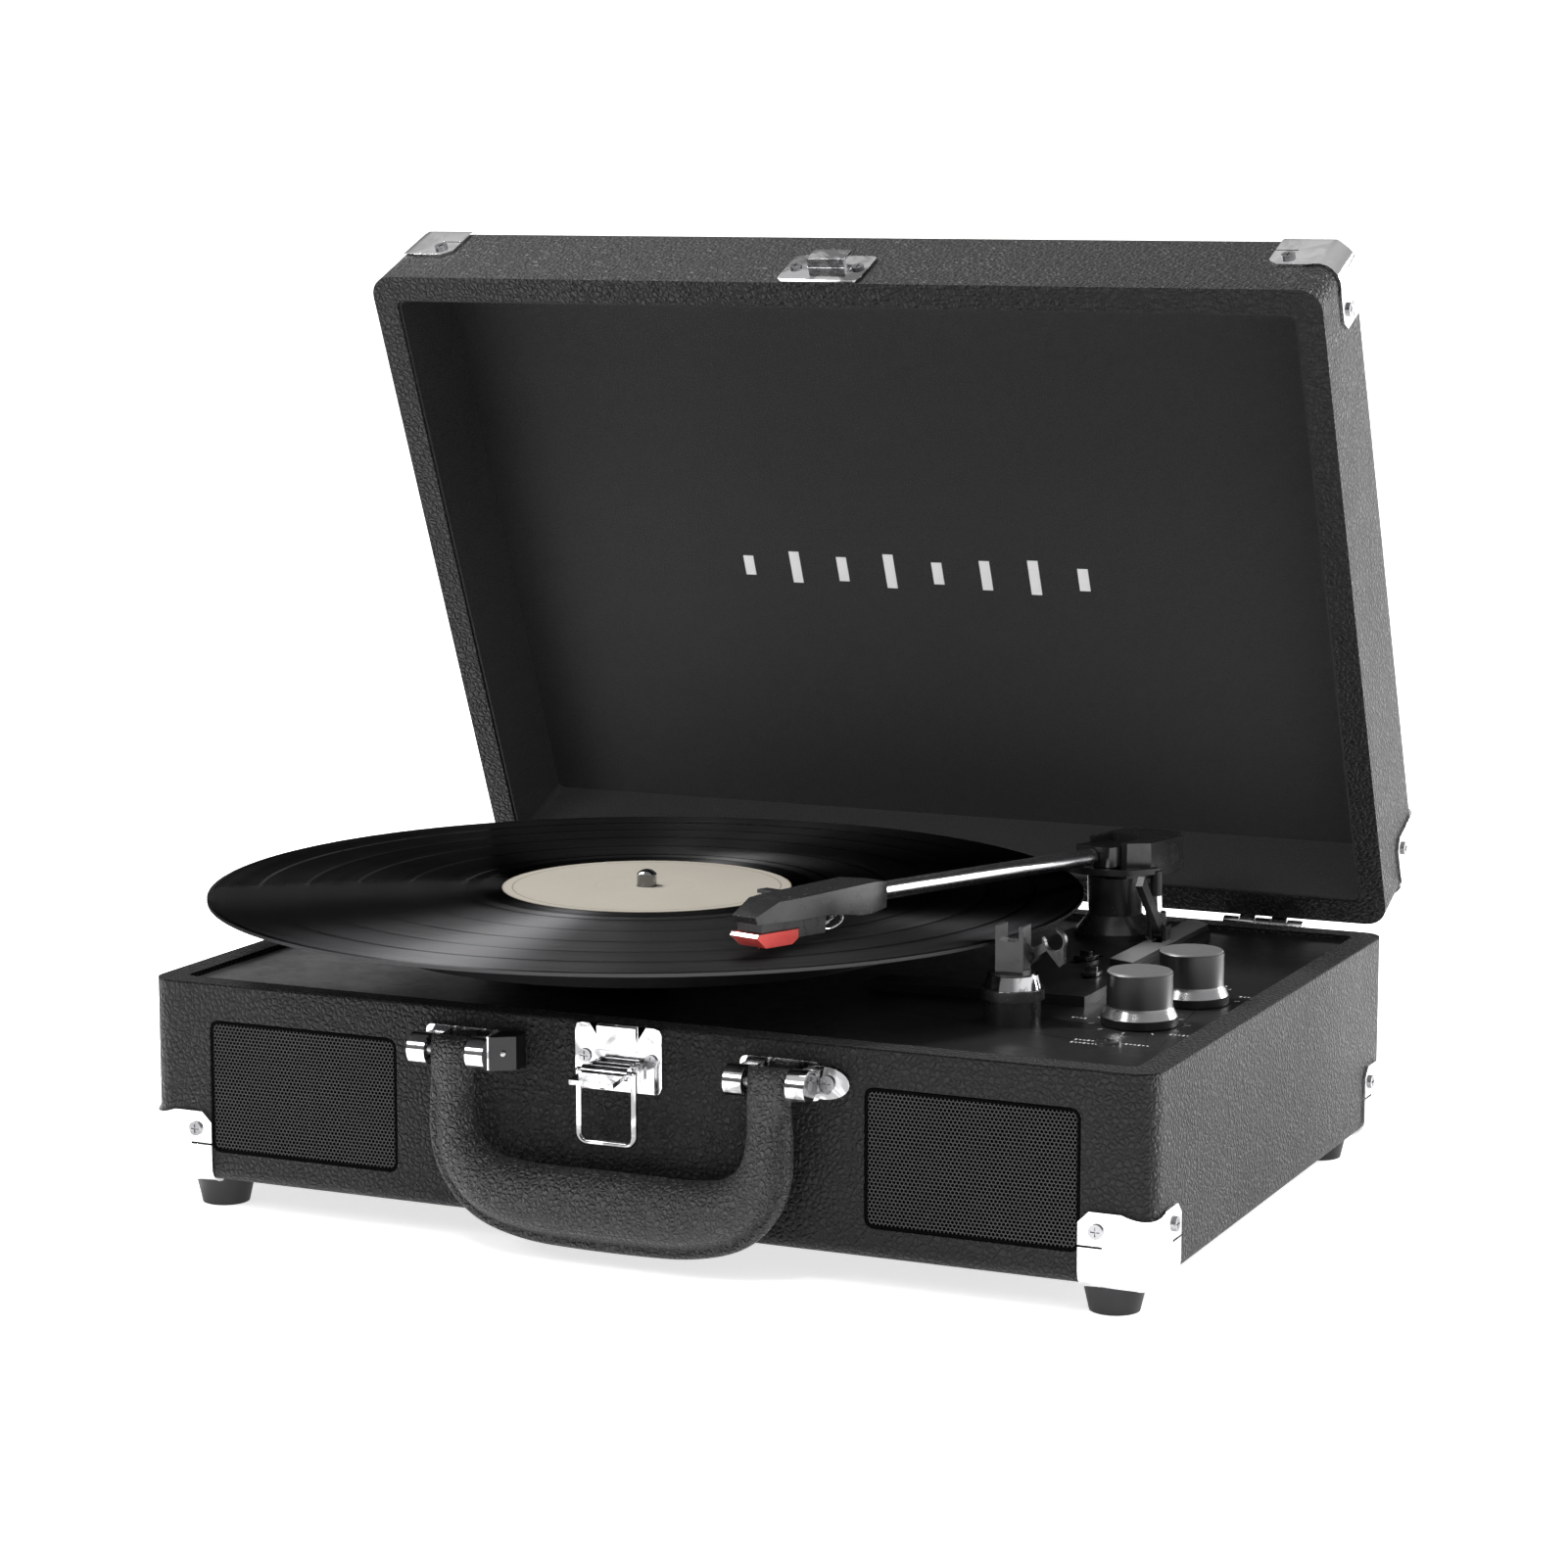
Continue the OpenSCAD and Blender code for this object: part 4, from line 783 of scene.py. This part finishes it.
def tube(bm, points, radius, sides=10):
    """A round wire along the points."""
    rings = []
    for i, here in enumerate(points):
        along = (points[min(len(points) - 1, i + 1)] - points[max(0, i - 1)]).normalized()
        across = along.cross(Vector((1, 0, 0)))
        if across.length < 0.1:
            across = along.cross(Vector((0, 0, 1)))
        across.normalize()
        other = along.cross(across)
        ring = []
        for k in range(sides):
            a = 2 * math.pi * k / sides
            ring.append(bm.verts.new(here + (across * math.cos(a) + other * math.sin(a)) * radius))
        rings.append(ring)
    for a, b in zip(rings, rings[1:]):
        for k in range(sides):
            n = (k + 1) % sides
            bm.faces.new((a[k], a[n], b[n], b[k]))
    bm.faces.new(rings[0])
    bm.faces.new(rings[-1])


ARM_TURN = Matrix.Rotation(-ARM_YAW, 4, "Z") @ Matrix.Rotation(-ARM_TILT, 4, "X")
ARM = Matrix.Translation(ARM_PIVOT) @ ARM_TURN


def cartridge_leads():
    """Four bare contact loops behind the cartridge."""
    bm = bmesh.new()
    for k in range(4):
        x = -3.3 + 2.2 * k
        low = -8.2 if k % 2 else -6.4
        loop = [(-172.9, low), (-168.5, low - 0.6), (-163.4, low + 0.6),
                (-161.6, low + 2.4), (-163.6, -4.4), (-167.5, -3.6)]
        path = smooth_path([(x, y, z) for y, z in loop], 6)
        tube(bm, [ARM @ (p * MM) for p in path], 0.42 * MM)
    return piece("cartridge_leads", bm, CHROME, "arm")


cartridge_leads()


def block_rivet():
    """Small domed rivet on the sloping face of the left bracket's block."""
    bm = bmesh.new()
    normal = Vector((4.5, -6.6, 0)).normalized()
    centre = Vector((-38.9, -132.9, 56.5)) * MM
    facing = normal.to_track_quat("Z", "Y").to_matrix().to_4x4()
    previous, sides = None, 20
    for radius, rise in ((1.15, -0.4), (1.15, 0.1), (0.95, 0.4), (0.5, 0.55)):
        ring = []
        for k in range(sides):
            a = 2 * math.pi * k / sides
            at = Vector((radius * math.cos(a), radius * math.sin(a), rise)) * MM
            ring.append(bm.verts.new(centre + facing @ at))
        if previous:
            for k in range(sides):
                n = (k + 1) % sides
                bm.faces.new((previous[k], previous[n], ring[n], ring[k]))
        else:
            bm.faces.new(list(reversed(ring)))
        previous = ring
    bm.faces.new(previous)
    return piece("block_rivet", bm, SCREWS, "case")


block_rivet()


def flat_mark(bm, x, y, width, length, turn=0.0):
    """A printed bar 0.03 mm thick on the deck, centred at x, y."""
    spin = Matrix.Rotation(turn, 4, "Z")
    top, low = [], []
    for a, b in ((-1, -1), (1, -1), (1, 1), (-1, 1)):
        at = spin @ Vector((a * width / 2 * MM, b * length / 2 * MM, 0))
        top.append(bm.verts.new((x + at.x, y + at.y, DECK_Z + 0.03 * MM)))
        low.append(bm.verts.new((x + at.x, y + at.y, DECK_Z - 0.01 * MM)))
    bm.faces.new(top)
    for k in range(4):
        n = (k + 1) % 4
        bm.faces.new((low[k], low[n], top[n], top[k]))


def deck_marks():
    """Generic scales and rows of ticks beside the controls, with no lettering."""
    bm = bmesh.new()
    reach = 15.4 * MM
    scales = [(VOLUME_AT, 0.45, [-230 + 35 * k for k in range(9)]), (FUNCTION_AT, 0.6, [30, 60, 90])]
    for centre, width, angles in scales:
        for angle in angles:
            a = math.radians(angle)
            x, y = centre[0] + reach * math.cos(a), centre[1] + reach * math.sin(a)
            flat_mark(bm, x, y, width, 1.8, a + math.pi / 2)
    # Start of each row of ticks, and how many it has
    rows = [(0.137, -0.0790, 18), (0.137, -0.0830, 11), (0.1245, -0.0480, 4), (0.1620, -0.0600, 5),
            (0.1640, 0.0050, 6), (0.1500, 0.0150, 6), (0.1500, 0.0190, 4)]
    for x, y, count in rows:
        for k in range(count):
            flat_mark(bm, x + 1.4 * MM * k, y, 0.75, 0.9 if k % 3 else 1.7)
    return piece("deck_marks", bm, DECK_INK, "case", smooth=False)


deck_marks()

# ---------------------------------------------------------------- stage
FLOOR_Z = cad_box[0].z


def floor():
    """White sweep: flat around the object, and rising into a low wall far behind it."""
    bm = bmesh.new()
    half, back, rise, steps = 9.0, 2.6, 0.55, 12
    profile = [(-9.0, 0.0), (back, 0.0)]
    for k in range(1, steps + 1):
        a = math.pi / 2 * k / steps
        profile.append((back + rise * math.sin(a), rise * (1 - math.cos(a))))
    profile.append((back + rise, 0.85))
    rows = [[bm.verts.new((x, y, FLOOR_Z + z)) for x in (-half, half)] for y, z in profile]
    for a, b in zip(rows, rows[1:]):
        bm.faces.new((a[0], a[1], b[1], b[0]))
    mesh = bpy.data.meshes.new("floor")
    bm.to_mesh(mesh)
    bm.free()
    for p in mesh.polygons:
        p.use_smooth = True
    obj = bpy.data.objects.new("floor", mesh)
    bpy.context.scene.collection.objects.link(obj)
    m = Mat("pale_floor")
    m.set(spec=0.1, rough=0.7, emission=0.7)
    m.bsdf.inputs["Emission Color"].default_value = (1, 1, 1, 1)
    cloud = m.noise(2.0, 2.0, 0.4)
    mesh.materials.append(m.use(color=m.mix(cloud, (0.93, 0.93, 0.93), (0.95, 0.95, 0.95))))


floor()

world = bpy.data.worlds.new("studio")
bpy.context.scene.world = world
world.use_nodes = True


def studio_sky(tree):
    """Plain white to look at. As light, bright overhead and to the right, and dim elsewhere."""
    def maths(operation, a, b):
        n = tree.nodes.new("ShaderNodeMath")
        n.operation = operation
        for i, v in enumerate((a, b)):
            if isinstance(v, (int, float)):
                n.inputs[i].default_value = v
            else:
                tree.links.new(v, n.inputs[i])
        return n.outputs[0]

    def ramp(value, low, high, to_low, to_high):
        n = tree.nodes.new("ShaderNodeMapRange")
        n.interpolation_type = "SMOOTHSTEP"
        for i, v in enumerate((low, high, to_low, to_high)):
            n.inputs[i + 1].default_value = v
        tree.links.new(value, n.inputs[0])
        return n.outputs[0]

    coord = tree.nodes.new("ShaderNodeTexCoord")
    split = tree.nodes.new("ShaderNodeSeparateXYZ")
    tree.links.new(coord.outputs["Generated"], split.inputs[0])
    x, _, z = split.outputs
    overhead = ramp(z, 0.12, 0.8, 0.0, 0.5)
    right = ramp(x, 0.25, 0.9, 0.0, 1.0)
    sides = maths("MULTIPLY", right, ramp(z, 0.0, 0.7, 1.0, 0.2))
    sky = tree.nodes["Background"]
    sky.inputs["Color"].default_value = (1, 1, 1, 1)
    lit = maths("ADD", 0.12, maths("ADD", overhead, sides))
    seen = tree.nodes.new("ShaderNodeLightPath").outputs["Is Camera Ray"]
    unseen = maths("MULTIPLY", lit, maths("SUBTRACT", 1.0, seen))
    tree.links.new(maths("ADD", unseen, maths("MULTIPLY", seen, 1.1)), sky.inputs["Strength"])


studio_sky(world.node_tree)


def soft_light(name, at, aim, size, power):
    """A rectangular area light at one place, aimed at another."""
    data = bpy.data.lights.new(name, "AREA")
    data.shape = "RECTANGLE"
    data.size, data.size_y = size
    data.energy = power
    obj = bpy.data.objects.new(name, data)
    bpy.context.scene.collection.objects.link(obj)
    obj.location = at
    obj.rotation_mode = "QUATERNION"
    obj.rotation_quaternion = (Vector(aim) - Vector(at)).to_track_quat("-Z", "Y")


soft_light("key_left", (-1.1, 0.2, 1.35), (0, 0, 0.1), (0.45, 0.9), 8)
soft_light("front_left", (-0.8, -1.5, 1.1), (0, 0, 0.05), (0.5, 0.5), 6)
soft_light("side_right", (1.5, 1.7, 0.55), (0.15, 0, 0.05), (0.8, 0.9), 44)
soft_light("streak", (-0.95, -0.1, 1.70), (-0.04, 0, 0.1), (0.14, 0.5), 44)
soft_light("front_top", (0.1, -1.5, 1.7), (0, -0.1, 0.05), (0.3, 0.3), 7)

camera = bpy.data.cameras.new("camera")
camera.sensor_width = 36
camera.lens = 92.80
camera.clip_start, camera.clip_end = 0.05, 20
seat = bpy.data.objects.new("camera", camera)
bpy.context.scene.collection.objects.link(seat)
seat.location = (0.5684, -1.2537, 0.3417)
seat.rotation_mode = "QUATERNION"
seat.rotation_quaternion = (Vector((0, 0, 0.1281)) - Vector(seat.location)).to_track_quat("-Z", "Y")
bpy.context.scene.camera = seat
bpy.context.scene.view_settings.view_transform = "Standard"
